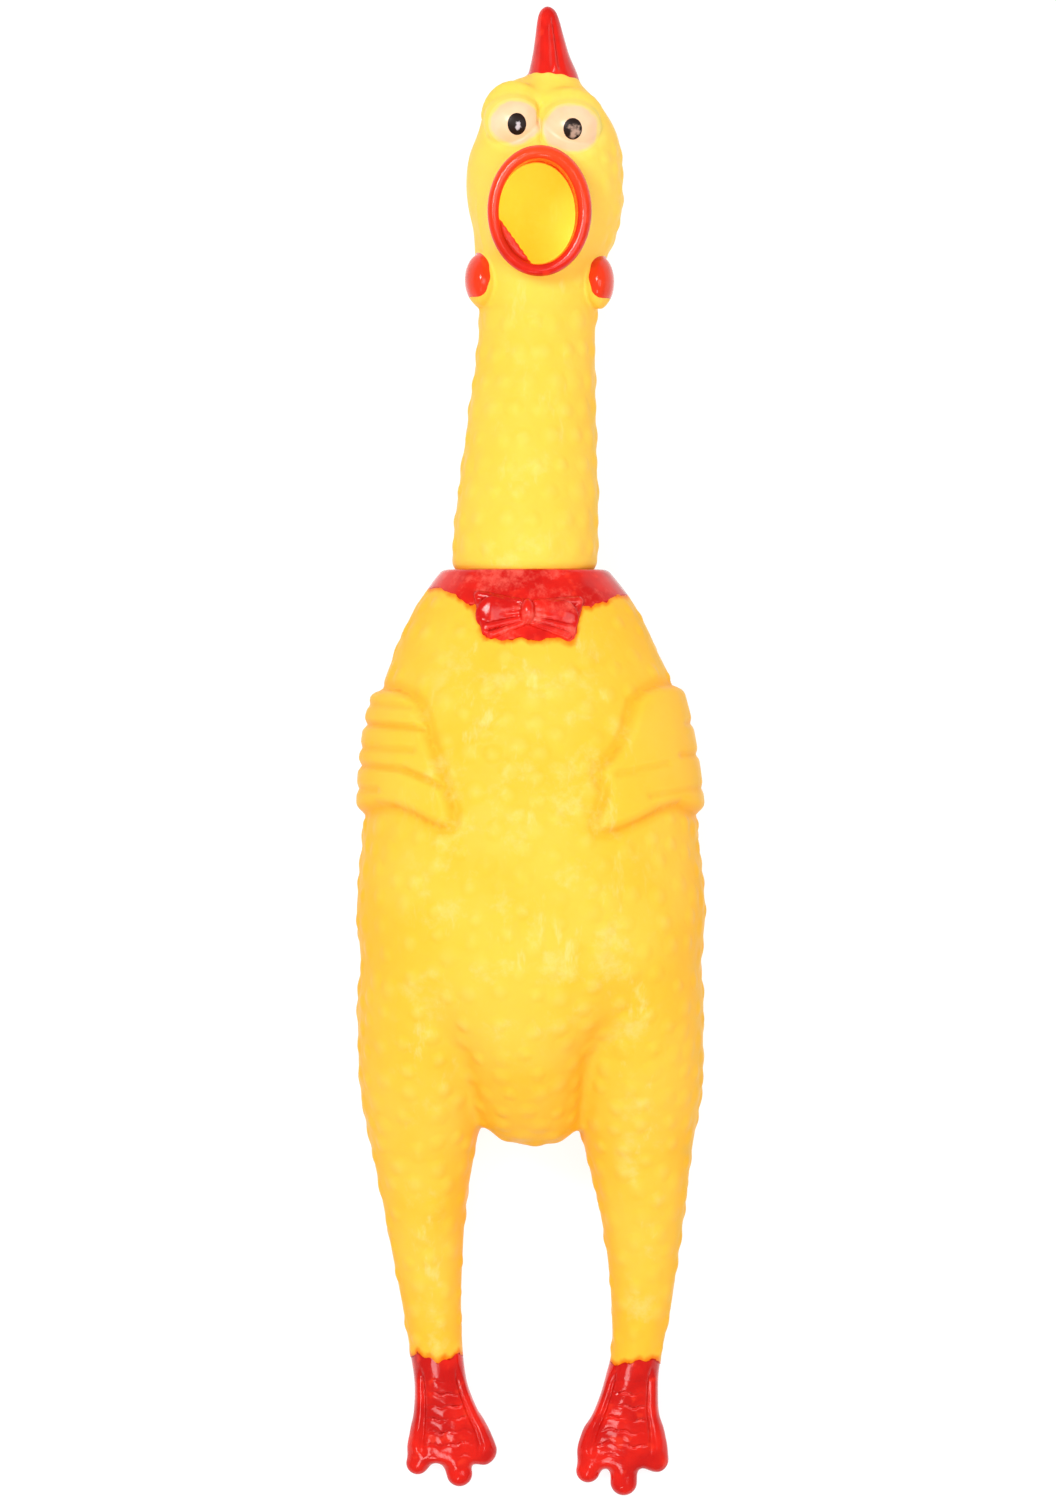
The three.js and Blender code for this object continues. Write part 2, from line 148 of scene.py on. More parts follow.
# Toes: start, end, radius.
RIGHT_TOES = [
    ((-22.2, -143.0, 3.6), (-24.0, -150.0, 2.5), 2.4),
    ((-17.2, -145.0, 3.4), (-15.2, -152.2, 2.8), 2.7),
    ((-12.8, -142.0, 3.6), (-9.9, -147.6, 2.5), 2.4),
]
LEFT_TOES = [
    ((13.8, -144.0, 3.6), (11.8, -151.6, 2.6), 2.5),
    ((19.4, -146.5, 3.4), (19.3, -154.0, 2.8), 2.8),
    ((24.4, -143.0, 3.6), (26.3, -149.4, 2.5), 2.4),
]
NECK = [
    (36.6, -1.5, 21.0, 13.8, 14.0),
    (38.0, -1.5, 21.0, 14.8, 14.8),
    (41.5, -1.4, 21.0, 15.0, 15.0),
    (51.0, -0.9, 20.4, 14.7, 14.8),
    (61.0, -0.4, 19.2, 13.9, 14.0),
    (72.0, 0.2, 17.8, 13.1, 13.2),
    (83.0, 0.9, 16.4, 12.3, 12.4),
    (94.0, 1.4, 15.2, 12.0, 12.2),
    (99.0, 1.7, 14.9, 12.0, 12.2),
]
HEAD = [
    (90.0, 1.4, 15.4, 10.5, 10.5),
    (96.0, 1.6, 15.0, 12.2, 12.6),
    (103.0, 2.0, 14.8, 13.8, 14.2),
    (108.2, 2.8, 14.6, 15.0, 15.0),
    (113.4, 2.8, 14.6, 16.1, 15.3),
    (118.6, 2.6, 14.6, 16.3, 15.3),
    (123.8, 2.8, 14.6, 15.9, 15.0),
    (129.0, 3.2, 14.6, 14.4, 13.2),
    (134.3, 2.5, 14.4, 12.0, 9.8),
    (138.0, 2.2, 14.2, 9.0, 7.8),
    (140.6, 2.4, 14.0, 5.6, 6.2),
]
COMB = [
    (138.0, 4.4, 14.2, 6.0, 7.2),
    (141.0, 4.4, 14.2, 5.2, 6.4),
    (145.0, 4.0, 14.2, 3.9, 5.0),
    (149.0, 3.7, 14.2, 3.0, 3.6),
    (153.2, 3.4, 14.2, 2.1, 2.3),
    (155.4, 3.3, 14.2, 1.3, 1.5),
]
LEG_SEAM = -84.0  # the legs are pieces of their own below this
NECK_SEAM = 92.0  # and the head above this
NECK_AXIS = (-1.5, 21)  # x and z of the line that the neck turns about
COLLAR_HOLE = 12.9  # radii about that line
PLUG = 12.4
PLUG_BORE = 10.6

# ---------------------------------------------------------------- distance functions


def smooth_table(stations, step=0.2):
    """A dense table through stations, rounded between them: its y values, and its other columns."""
    known = np.array(stations, float)
    y = known[:, 0]
    slopes = np.gradient(known, y, axis=0)
    dense = np.arange(y[0], y[-1] + step / 2, step)
    i = np.clip(np.searchsorted(y, dense, side="right") - 1, 0, len(y) - 2)
    gap = (y[i + 1] - y[i])[:, None]
    t = ((dense - y[i])[:, None]) / gap
    value = (
        (2 * t**3 - 3 * t**2 + 1) * known[i]
        + (t**3 - 2 * t**2 + t) * gap * slopes[i]
        + (3 * t**2 - 2 * t**3) * known[i + 1]
        + (t**3 - t**2) * gap * slopes[i + 1]
    )
    return dense, value[:, 1:].T


def tube(stations, squareness=2.0, end_round=1.0):
    """The distance to a form with an oval section that follows stations along Y."""
    table_y, columns = smooth_table(stations)

    def distance(x, y, z):
        cx, cz, half_width, half_depth = (np.interp(y, table_y, column) for column in columns)
        u = np.abs(x - cx) / half_width
        v = np.abs(z - cz) / half_depth
        n = squareness
        k = (u**n + v**n + 1e-6) ** (1 / n)
        steepness = np.sqrt((u ** (n - 1) / half_width) ** 2 + (v ** (n - 1) / half_depth) ** 2)
        steepness = steepness * k ** (1 - n)
        side = np.minimum((k - 1) / (steepness + 1e-4), 30)
        past_end = np.maximum(table_y[0] - y, y - table_y[-1])
        return soft_max(side, past_end, end_round)

    return distance


def ellipsoid(centre, half):
    def distance(x, y, z):
        u, v, w = (np.abs(p - c) / h for p, c, h in zip((x, y, z), centre, half))
        section = (u**2 + w**2 + 1e-6) ** 0.5
        k = np.sqrt(section**2 + v * v) + 1e-6
        steepness = np.sqrt((u / half[0]) ** 2 + (v / half[1]) ** 2 + (w / half[2]) ** 2) + 1e-4
        return k * (k - 1) / steepness

    return distance


def bar(start, end, radius, end_radius=None, flatness=1.0):
    """A round bar between two points, tapering to end_radius; flatness squeezes it along Z."""
    end_radius = radius if end_radius is None else end_radius
    ax, ay, az = start
    bx, by, bz = (e - s for e, s in zip(end, start))
    bz /= flatness
    length2 = bx * bx + by * by + bz * bz + 1e-9

    def distance(x, y, z):
        px, py, pz = x - ax, y - ay, (z - az) / flatness
        t = np.clip((px * bx + py * by + pz * bz) / length2, 0, 1)
        away = np.sqrt((px - t * bx) ** 2 + (py - t * by) ** 2 + (pz - t * bz) ** 2)
        return away - (radius + (end_radius - radius) * t)

    return distance


def along_neck(start, end, radius):
    """A round bar on the line that the neck turns about, from one y to another."""
    x, z = NECK_AXIS
    return bar((x, start, z), (x, end, z), radius)


def inner(stations):
    """The stations of the wall's inner face."""
    return [(y, x, z, a - WALL, b - WALL) for y, x, z, a, b in stations]


def chain(points, radius):
    """Round bars from each point to the next."""
    bars = [bar(start, end, radius) for start, end in zip(points, points[1:])]
    return lambda x, y, z: np.minimum.reduce([one(x, y, z) for one in bars])


def soft_min(a, b, k):
    h = np.clip(0.5 + 0.5 * (b - a) / k, 0, 1)
    return b + (a - b) * h - k * h * (1 - h)


def soft_max(a, b, k):
    return -soft_min(-a, -b, k)


class Form:
    """A soft form: features blended on to each other in turn, each worked out only near itself."""

    def __init__(self):
        self.features = []

    def add(self, distance, low, high, blend=1.0):
        self.features.append((distance, low, high, blend, False))

    def carve(self, distance, low, high, blend=0.5):
        self.features.append((distance, low, high, blend, True))

    @staticmethod
    def joined(value, feature, blend, carves):
        return soft_max(value, -feature, blend) if carves else soft_min(value, feature, blend)

    def at(self, points):
        """The distance at each point."""
        x, y, z = points.T
        value = np.full(len(points), 30.0)
        for distance, low, high, blend, carves in self.features:
            near = np.all((points >= np.array(low) - blend) & (points <= np.array(high) + blend), axis=1)
            if near.any():
                there = distance(x[near], y[near], z[near])
                value[near] = self.joined(value[near], there, blend, carves)
        return value

    def on_grid(self, axes):
        value = np.full([len(axis) for axis in axes], 30.0, np.float32)
        for distance, low, high, blend, carves in self.features:
            cut = []
            for axis, lowest, highest in zip(axes, low, high):
                first, last = np.searchsorted(axis, (lowest - blend, highest + blend))
                cut.append(slice(first, last))
            if any(part.stop <= part.start for part in cut):
                continue
            x, y, z = (axis[part] for axis, part in zip(axes, cut))
            there = distance(x[:, None, None], y[None, :, None], z[None, None, :])
            cut = tuple(cut)
            value[cut] = self.joined(value[cut], there.astype(np.float32), blend, carves)
        return value

    def slope(self, points, step=0.06):
        """The direction in which the distance grows, with its steepness."""
        columns = []
        for axis in range(3):
            shift = np.zeros(3)
            shift[axis] = step
            columns.append((self.at(points + shift) - self.at(points - shift)) / (2 * step))
        return np.stack(columns, axis=1)

    def settle(self, points, rounds=2, reach=0.5):
        """Moves points on to the surface."""
        for _ in range(rounds):
            slope = self.slope(points)
            size = np.maximum((slope**2).sum(axis=1), 0.05)
            move = (self.at(points) / size)[:, None] * slope
            length = np.linalg.norm(move, axis=1, keepdims=True)
            points = points - move * np.minimum(1, reach / np.maximum(length, 1e-9))
        return points


# ---------------------------------------------------------------- meshes from forms

CORNERS = [(i, j, k) for i in (0, 1) for j in (0, 1) for k in (0, 1)]


def surface_of(form, low, high, step):
    """The form's surface inside a box, as points and triangles."""
    axes = [np.arange(lo, hi + step, step) for lo, hi in zip(low, high)]
    value = form.on_grid(axes)
    inside = value < 0
    shape = [n - 1 for n in inside.shape]

    def corner(array, offset):
        return array[tuple(slice(o, o + n) for o, n in zip(offset, shape))]

    count = sum(corner(inside, c).astype(np.int8) for c in CORNERS)
    cells = np.argwhere((count > 0) & (count < 8))
    corner_value = np.stack([value[tuple((cells + c).T)] for c in CORNERS], axis=1)
    total = np.zeros((len(cells), 3))
    crossings = np.zeros(len(cells))
    for a in range(8):
        for b in range(a + 1, 8):
            offset_a, offset_b = np.array(CORNERS[a]), np.array(CORNERS[b])
            if np.abs(offset_a - offset_b).sum() != 1:
                continue
            fa, fb = corner_value[:, a], corner_value[:, b]
            crosses = (fa < 0) != (fb < 0)
            t = np.where(crosses, fa / np.where(crosses, fa - fb, 1), 0)
            total += crosses[:, None] * (offset_a + t[:, None] * (offset_b - offset_a))
            crossings += crosses
    points = (cells + total / crossings[:, None]) * step + np.array([axis[0] for axis in axes])
    number = np.full(shape, -1, np.int64)
    number[tuple(cells.T)] = np.arange(len(cells))
    quads = []
    for axis in range(3):
        other = [(axis + 1) % 3, (axis + 2) % 3]
        first = np.moveaxis(inside, axis, 0)[:-1]
        second = np.moveaxis(inside, axis, 0)[1:]
        edges = np.argwhere(first != second)
        at = np.zeros_like(edges)
        at[:, axis] = edges[:, 0]
        at[:, [n for n in range(3) if n != axis]] = edges[:, 1:]
        usable = (at[:, other] >= 1).all(axis=1) & (at[:, other] < np.array(shape)[other]).all(axis=1)
        at = at[usable]
        ring = []
        for du, dv in ((-1, -1), (0, -1), (0, 0), (-1, 0)):
            neighbour = at.copy()
            neighbour[:, other[0]] += du
            neighbour[:, other[1]] += dv
            ring.append(number[tuple(neighbour.T)])
        ring = np.stack(ring, axis=1)
        outward = inside[tuple(at.T)]
        ring[~outward] = ring[~outward][:, ::-1]
        quads.append(ring)
    quads = np.concatenate(quads)
    triangles = np.concatenate([quads[:, [0, 1, 2]], quads[:, [0, 2, 3]]])
    return form.settle(points), triangles


def divided(points, triangles, value):
    """Cuts triangles along value = 0.

    Returns the points with those of the cut added, the triangles below 0, and those above it.
    """
    value = np.where(np.abs(value) < 1e-4, 1e-4, value)
    above = value[triangles] > 0
    count = above.sum(axis=1)
    below_parts, above_parts = [triangles[count == 0]], [triangles[count == 3]]
    mixed = triangles[(count == 1) | (count == 2)]
    if not len(mixed):
        return points, below_parts[0], above_parts[0]
    lone_above = above[(count == 1) | (count == 2)].sum(axis=1) == 1
    is_lone = (value[mixed] > 0) == lone_above[:, None]
    turn = is_lone.argmax(axis=1)
    a, b, c = (mixed[np.arange(len(mixed)), (turn + k) % 3] for k in range(3))
    pairs = np.sort(np.concatenate([np.stack([a, b], 1), np.stack([a, c], 1)]), axis=1)
    unique, index = np.unique(pairs, axis=0, return_inverse=True)
    index = index.reshape(-1) + len(points)
    v0, v1 = value[unique[:, 0]], value[unique[:, 1]]
    t = (v0 / (v0 - v1))[:, None]
    points = np.concatenate([points, points[unique[:, 0]] * (1 - t) + points[unique[:, 1]] * t])
    ab, ac = index[: len(a)], index[len(a) :]
    tip = np.stack([a, ab, ac], 1)
    rest = np.concatenate([np.stack([ab, b, c], 1), np.stack([ab, c, ac], 1)])
    lone_twice = np.concatenate([lone_above, lone_above])
    above_parts += [tip[lone_above], rest[~lone_twice]]
    below_parts += [tip[~lone_above], rest[lone_twice]]
    return points, np.concatenate(below_parts), np.concatenate(above_parts)


class Skin:
    """One moulding's surface, divided into named regions that share their points."""

    def __init__(self, form, low, high, step, name):
        self.form = form
        self.points, triangles = surface_of(form, low, high, step)
        self.regions = {name: triangles}

    def split(self, source, name, value):
        """Moves the part of source where value(points) is above 0 into a region of its own."""
        triangles = self.regions[source]
        self.points, self.regions[source], self.regions[name] = divided(
            self.points, triangles, value(self.points)
        )

    def drop(self, source, value):
        """Removes the part of source where value(points) is above 0."""
        self.split(source, "dropped", value)
        del self.regions["dropped"]

    def raised(self, bumps=(), others=()):
        """Lifts the points by each relief and works out the normals of what results."""
        slope = self.form.slope(self.points)
        normals = slope / np.maximum(np.linalg.norm(slope, axis=1, keepdims=True), 1e-9)
        self.rest = self.points
        self.front = normals[:, 2]  # 1 where the skin faces the chicken's front, whatever the view
        self.bumps = np.zeros(len(self.points))
        height = np.zeros(len(self.points))
        rise = np.zeros_like(self.points)
        for relief in (*bumps, *others):
            lift, change = relief(self.points, normals)
            if relief in bumps:
                self.bumps += lift
            height += lift
            rise += change
        rise -= (rise * normals).sum(axis=1, keepdims=True) * normals
        self.lifted = self.points + normals * height[:, None]
        shaded = normals - rise
        self.normals = shaded / np.linalg.norm(shaded, axis=1, keepdims=True)

    def piece(self, region, name, material, body, replaces=(), values=None):
        """Makes a region an object. values maps attribute names to functions of the points."""
        used, triangles = np.unique(self.regions[region], return_inverse=True)
        mesh = bpy.data.meshes.new(name)
        triangles = triangles.reshape(-1, 3)
        mesh.from_pydata((self.lifted[used] * MM).tolist(), [], triangles.tolist())
        mesh.normals_split_custom_set_from_vertices(self.normals[used].tolist())
        rest = mesh.attributes.new("rest", "FLOAT_VECTOR", "POINT")
        rest.data.foreach_set("vector", (self.rest[used] * MM).astype(np.float32).ravel())
        known = {"raise": lambda p: self.bumps[used], "front": lambda p: self.front[used]}
        for attribute, value in {**known, **(values or {})}.items():
            layer = mesh.attributes.new(attribute, "FLOAT", "POINT")
            layer.data.foreach_set("value", value(self.rest[used]).astype(np.float32))
        mesh.materials.append(material)
        obj = bpy.data.objects.new(name, mesh)
        scene.collection.objects.link(obj)
        if replaces:
            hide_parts(*replaces)
        if isinstance(body, str):
            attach(obj, body)
        else:
            first, second, start, end = body
            Vector(start) * MM
            Vector(end) * MM
            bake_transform(obj)
        return obj


# ---------------------------------------------------------------- relief


def numeric(height, step=0.05):
    """A relief from a function of the points, with its change worked out by small steps."""

    def relief(points, normals):
        change = np.zeros_like(points)
        for axis in range(3):
            shift = np.zeros(3)
            shift[axis] = step
            change[:, axis] = (height(points + shift, normals) - height(points - shift, normals)) / (2 * step)
        return height(points, normals), change

    return relief


CANDIDATES = 14000  # the most points that scattered picks from
CHUNK = 4000  # points worked out at a time, to save memory


def scattered(points, allowed, spacing, seed):
    """Points picked at random from those allowed, none nearer to another than spacing."""
    rng = np.random.default_rng(seed)
    cells = {}
    chosen = []
    around = [(i, j, k) for i in (-1, 0, 1) for j in (-1, 0, 1) for k in (-1, 0, 1)]
    candidates = rng.permutation(np.flatnonzero(allowed))[:CANDIDATES]
    keys = np.floor(points / spacing).astype(int)
    for i in candidates:
        kx, ky, kz = keys[i]
        near = [j for dx, dy, dz in around for j in cells.get((kx + dx, ky + dy, kz + dz), ())]
        if near and ((points[near] - points[i]) ** 2).sum(axis=1).min() < spacing**2:
            continue
        cells.setdefault((kx, ky, kz), []).append(i)
        chosen.append(i)
    return points[chosen]


def pimples(centres, radius, height, fade=None):
    """Low round domes on the skin. fade(points) is a share from 0 to 1."""
    size = radius * np.random.default_rng(len(centres)).uniform(0.75, 1.15, len(centres))

    def relief(points, normals):
        lift = np.zeros(len(points))
        change = np.zeros_like(points)
        for start in range(0, len(points), CHUNK):
            part = slice(start, start + CHUNK)
            away = points[part, None, :] - centres[None]
            share = ((away**2).sum(axis=2)) / size**2
            nearest = share.argmin(axis=1)
            row = np.arange(len(nearest))
            dome = np.maximum(1 - share[row, nearest], 0)
            lift[part] = height * dome**2
            change[part] = (-4 * height * dome / size[nearest] ** 2)[:, None] * away[row, nearest]
        if fade is not None:
            share = fade(points)
            lift *= share
            change *= share[:, None]
        return lift, change

    return relief


def step_up(value, low, high):
    """0 below low, 1 above high, and rounded between."""
    t = np.clip((value - low) / (high - low), 0, 1)
    return t * t * (3 - 2 * t)


# ---------------------------------------------------------------- materials


class Nodes:
    """A short way to write a material's nodes."""

    def __init__(self, name):
        self.material = bpy.data.materials.new(name)
        self.material.use_nodes = True
        self.tree = self.material.node_tree
        self.shader = self.tree.nodes["Principled BSDF"]

    def add(self, kind, inputs=None, **settings):
        node = self.tree.nodes.new(kind)
        for key, value in settings.items():
            setattr(node, key, value)
        for key, value in (inputs or {}).items():
            self.feed(node.inputs[key], value)
        return node

    def feed(self, socket, value):
        if isinstance(value, bpy.types.NodeSocket):
            self.tree.links.new(value, socket)
        else:
            socket.default_value = value

    def attribute(self, name):
        node = self.add("ShaderNodeAttribute", attribute_name=name)
        return node.outputs["Fac"]

    def rest(self):
        return self.add("ShaderNodeAttribute", attribute_name="rest").outputs["Vector"]

    def noise(self, scale, detail=2.0, roughness=0.5, vector=None):
        inputs = {"Scale": scale, "Detail": detail, "Roughness": roughness}
        inputs["Vector"] = self.rest() if vector is None else vector
        return self.add("ShaderNodeTexNoise", inputs).outputs["Fac"]

    def span(self, value, low, high, to_low=0.0, to_high=1.0):
        inputs = {"Value": value, "From Min": low, "From Max": high, "To Min": to_low, "To Max": to_high}
        return self.add("ShaderNodeMapRange", inputs, interpolation_type="SMOOTHSTEP").outputs["Result"]

    def math(self, operation, a, b):
        return self.add("ShaderNodeMath", {0: a, 1: b}, operation=operation).outputs[0]

    def mix(self, share, a, b):
        """Between two colours."""
        node = self.add("ShaderNodeMix", data_type="RGBA")
        self.feed(node.inputs[0], share)
        self.feed(node.inputs[6], a)
        self.feed(node.inputs[7], b)
        return node.outputs[2]

    def blend(self, share, a, b):
        """Between two numbers."""
        node = self.add("ShaderNodeMix", data_type="FLOAT")
        self.feed(node.inputs[0], share)
        self.feed(node.inputs[2], a)
        self.feed(node.inputs[3], b)
        return node.outputs[0]

    def bump(self, height, strength, distance):
        inputs = {"Height": height, "Strength": strength, "Distance": distance}
        return self.add("ShaderNodeBump", inputs).outputs["Normal"]

    def finish(self, **values):
        for key, value in values.items():
            self.feed(self.shader.inputs[key.replace("_", " ")], value)
        return self.material


PAINT_EDGE = 2.0  # the paint attribute at a painted edge; it changes by 1 for each millimetre across
YELLOW = (1.0, 0.53, 0.058, 1)
# colour of the pimple tops: partly rubbed vinyl, partly a painted highlight
YELLOW_TOP_HIGHLIGHT = (1.0, 0.61, 0.14, 1)
YELLOW_DEEP = (1.0, 0.49, 0.038, 1)
# colour of the painted shade down the sides
YELLOW_SIDE_SHADE = (1.0, 0.47, 0.008, 1)
YELLOW_LEMON = (1.0, 0.73, 0.13, 1)
# colour of the painted shade in the hollows
YELLOW_HOLLOW_SHADE = (1.0, 0.36, 0.010, 1)
# colour of the pale patches on the front: painted highlights, partly rubbed vinyl
YELLOW_RUBBED_HIGHLIGHT = (1.0, 0.66, 0.24, 1)
ORANGE = (1.0, 0.20, 0.004, 1)
RED = (0.72, 0.012, 0.005, 1)
RED_DEEP = (0.54, 0.005, 0.003, 1)
RED_PALE = (0.88, 0.040, 0.014, 1)
# colour of the painted highlights on the collar and bow
RED_HIGHLIGHT = (0.95, 0.17, 0.12, 1)
RED_THIN = (0.93, 0.075, 0.012, 1)
# colours of the painted glow on the head's inner wall
GLOW = (1.0, 0.45, 0.035, 1)
GLOW_DEEP = (1.0, 0.37, 0.02, 1)
GLOW_STRENGTH = 0.70  # of the painted glow on the head's inner wall, in place of the light through its vinyl
CREAM = (0.88, 0.57, 0.33, 1)
CREAM_LIGHT = (0.90, 0.61, 0.38, 1)
PUPIL_BLACK = (0.014, 0.006, 0.004, 1)


def vinyl():
    """Soft yellow vinyl, with stray paint where paint is.

    It has painted shade round the sides and in the hollows, and is paler on the pimples and in patches on the
    front, partly rubbed and partly painted highlights.
    """
    n = Nodes("vinyl_yellow")
    cloudy = n.span(n.noise(45, 3), 0.35, 0.65)
    base = n.mix(cloudy, YELLOW, YELLOW_DEEP)
    # painted shade: deeper orange where the skin faces away from the front
    base = n.mix(n.span(n.attribute("front"), -0.1, 0.72, 1.0, 0.0), base, YELLOW_SIDE_SHADE)
    # painted shade in the hollows round the wings and in their creases
    base = n.mix(n.attribute("hollow"), base, YELLOW_HOLLOW_SHADE)
    front = n.span(n.attribute("front"), 0.3, 0.9, 0.3, 1.0)
    # pimple tops on the front paler: partly rubbed, partly a painted highlight
    wear_and_highlight_tops = n.math("MULTIPLY", n.span(n.noise(70, 2), 0.35, 0.65, 0.05, 0.3), front)
    raised = n.math("MULTIPLY", n.span(n.attribute("raise"), 0.06, 0.34), wear_and_highlight_tops)
    base = n.mix(raised, base, YELLOW_TOP_HIGHLIGHT)
    # pale patches on the front are painted highlights; the upright lines are partly rubbed, partly painted
    # highlights
    highlight_patches = n.span(n.noise(110, 5, 0.7), 0.51, 0.72, 0.0, 0.42)
    stretched = n.add("ShaderNodeVectorMath", {0: n.rest(), 1: (1, 0.3, 1)}, operation="MULTIPLY").outputs[0]
    wear_and_highlight_streaks = n.span(n.noise(210, 4, 0.7, vector=stretched), 0.56, 0.74, 0.0, 0.6)
    front_highlights_and_wear = n.math("MAXIMUM", highlight_patches, wear_and_highlight_streaks)
    base = n.mix(n.math("MULTIPLY", front_highlights_and_wear, n.span(n.attribute("front"), 0.7, 0.95)), base, YELLOW_RUBBED_HIGHLIGHT)
    base = n.mix(n.attribute("pale"), base, YELLOW_LEMON)
    edge_noise = n.span(n.noise(420, 3), 0.25, 0.75, -0.4, 0.4)
    paint = n.math("ADD", n.attribute("paint"), edge_noise)
    base = n.mix(n.span(paint, PAINT_EDGE - 1.4, PAINT_EDGE), base, ORANGE)
    painted = n.span(paint, PAINT_EDGE - 0.1, PAINT_EDGE + 0.1)
    base = n.mix(painted, base, n.mix(n.span(n.noise(150, 3), 0.35, 0.65), RED, RED_DEEP))
    fine = n.noise(900, 3, 0.6)
    soft = n.noise(260, 2)
    brushed = n.noise(330, 4, 0.6)
    height = n.math("ADD", n.math("MULTIPLY", fine, 0.2), soft)
    height = n.math("ADD", height, n.math("MULTIPLY", n.noise(105, 2), 3.0))
    height = n.blend(painted, height, n.math("MULTIPLY", brushed, 2.2))
    rough = n.blend(painted, n.span(soft, 0.3, 0.7, 0.30, 0.42), 0.16)
    # painted glow on the head's inner wall, in place of light that comes through the vinyl
    inner = n.attribute("inner")
    glow = n.mix(n.span(n.noise(60, 2), 0.3, 0.7), GLOW, GLOW_DEEP)
    return n.finish(
        Base_Color=base,
        Roughness=rough,
        Normal=n.bump(height, 0.3, 0.0004),
        IOR=1.5,
        Specular_IOR_Level=0.05,
        Subsurface_Weight=0.3,
        Subsurface_Scale=0.004,
        Subsurface_Radius=(1.0, 0.45, 0.08),
        Emission_Color=n.mix(inner, (0, 0, 0, 1), glow),
        Emission_Strength=GLOW_STRENGTH,
    )


def red_paint():
    """Glossy red paint over soft vinyl, paler where it is thin, with painted highlights on the front of the
    collar and bow.
    """
    n = Nodes("paint_red")
    cloudy = n.span(n.noise(120, 3), 0.35, 0.65)
    base = n.mix(cloudy, RED, RED_DEEP)
    patches = n.span(n.noise(300, 2), 0.58, 0.72, 0.0, 0.5)
    base = n.mix(patches, base, RED_PALE)
    base = n.mix(n.attribute("thin"), base, RED_THIN)
    # painted highlight scratches on the front of the collar and bow
    highlight_scratches = n.span(n.noise(210, 4, 0.7), 0.46, 0.74, 0.0, 0.55)
    base = n.mix(n.math("MULTIPLY", highlight_scratches, n.attribute("collar_highlight")), base, RED_HIGHLIGHT)
    fine = n.noise(700, 3, 0.6)
    waves = n.noise(230, 1)
    height = n.math("ADD", n.math("MULTIPLY", fine, 0.15), waves)
    return n.finish(
        Base_Color=base,
        Roughness=n.span(fine, 0.3, 0.7, 0.10, 0.18),
        Normal=n.bump(height, 0.3, 0.0004),
        IOR=1.5,
        Specular_IOR_Level=0.28,
        Subsurface_Weight=0.12,
        Subsurface_Scale=0.002,
        Subsurface_Radius=(1.0, 0.2, 0.1),
    )


def cream_paint():
    """The whites of the eyes, with yellow straying in at their edges."""
    n = Nodes("paint_cream")
    cloudy = n.span(n.noise(250, 3), 0.35, 0.65)
    base = n.mix(cloudy, CREAM, CREAM_LIGHT)
    stray = n.math("ADD", n.attribute("paint"), n.span(n.noise(300, 3), 0.3, 0.7, -0.2, 0.2))
    base = n.mix(n.span(stray, 0.3, 1.1), base, YELLOW_LEMON)
    return n.finish(
        Base_Color=base,
        Roughness=n.span(n.noise(500, 2), 0.3, 0.7, 0.28, 0.4),
        Normal=n.bump(n.noise(300, 2), 0.2, 0.0003),
        Subsurface_Weight=0.2,
        Subsurface_Scale=0.002,
        Subsurface_Radius=(1.0, 0.6, 0.3),
    )


def pupil_paint(name, wear_and_glint, bare):
    """Near-black paint with a patch of the colour bare near its middle, partly rubbed-off paint and partly a
    painted reflection.
    """
    n = Nodes(name)
    patchy = n.math("ADD", n.attribute("paint"), n.span(n.noise(900, 3), 0.3, 0.7, -0.35, 0.35))
    worn = n.span(patchy, 0.55 - wear_and_glint * 0.3, 0.95, 0.0, 0.85)
    base = n.mix(worn, PUPIL_BLACK, bare)
    return n.finish(Base_Color=base, Roughness=0.35, Specular_IOR_Level=0.15)


def sounder_plastic(name, color, rough):
    """Plain plastic, a little darker in patches."""
    n = Nodes(name)
    place = n.add("ShaderNodeTexCoord").outputs["Object"]
    base = n.mix(n.noise(200, 3, vector=place), color, [c * 0.92 for c in color])
    return n.finish(Base_Color=base, Roughness=rough)


VINYL = vinyl()
PAINT_RED = red_paint()
PAINT_CREAM = cream_paint()
# the right pupil's pale grey patch is partly rubbed-off paint and partly a painted reflection; the left's
# brown patch is rubbed-off paint
PUPIL_RIGHT = pupil_paint("pupil_right", wear_and_glint=0.3, bare=(0.62, 0.56, 0.60, 1))
PUPIL_LEFT = pupil_paint("pupil_left", wear_and_glint=0.9, bare=(0.50, 0.33, 0.25, 1))

# ---------------------------------------------------------------- the body moulding

torso_at, (torso_x, torso_z, torso_width, torso_depth) = smooth_table(TORSO)
TORSO_SQUARENESS = 2.15


def on_front(x, y, lift=0.0):
    """The point of the torso's front above (x, y), lifted off it."""
    cx, cz, a, b = (np.interp(y, torso_at, column) for column in (torso_x, torso_z, torso_width, torso_depth))
    u = min(abs(x - cx) / a, 0.999)
    return (x, y, cz + b * (1 - u**TORSO_SQUARENESS) ** (1 / TORSO_SQUARENESS) + lift)


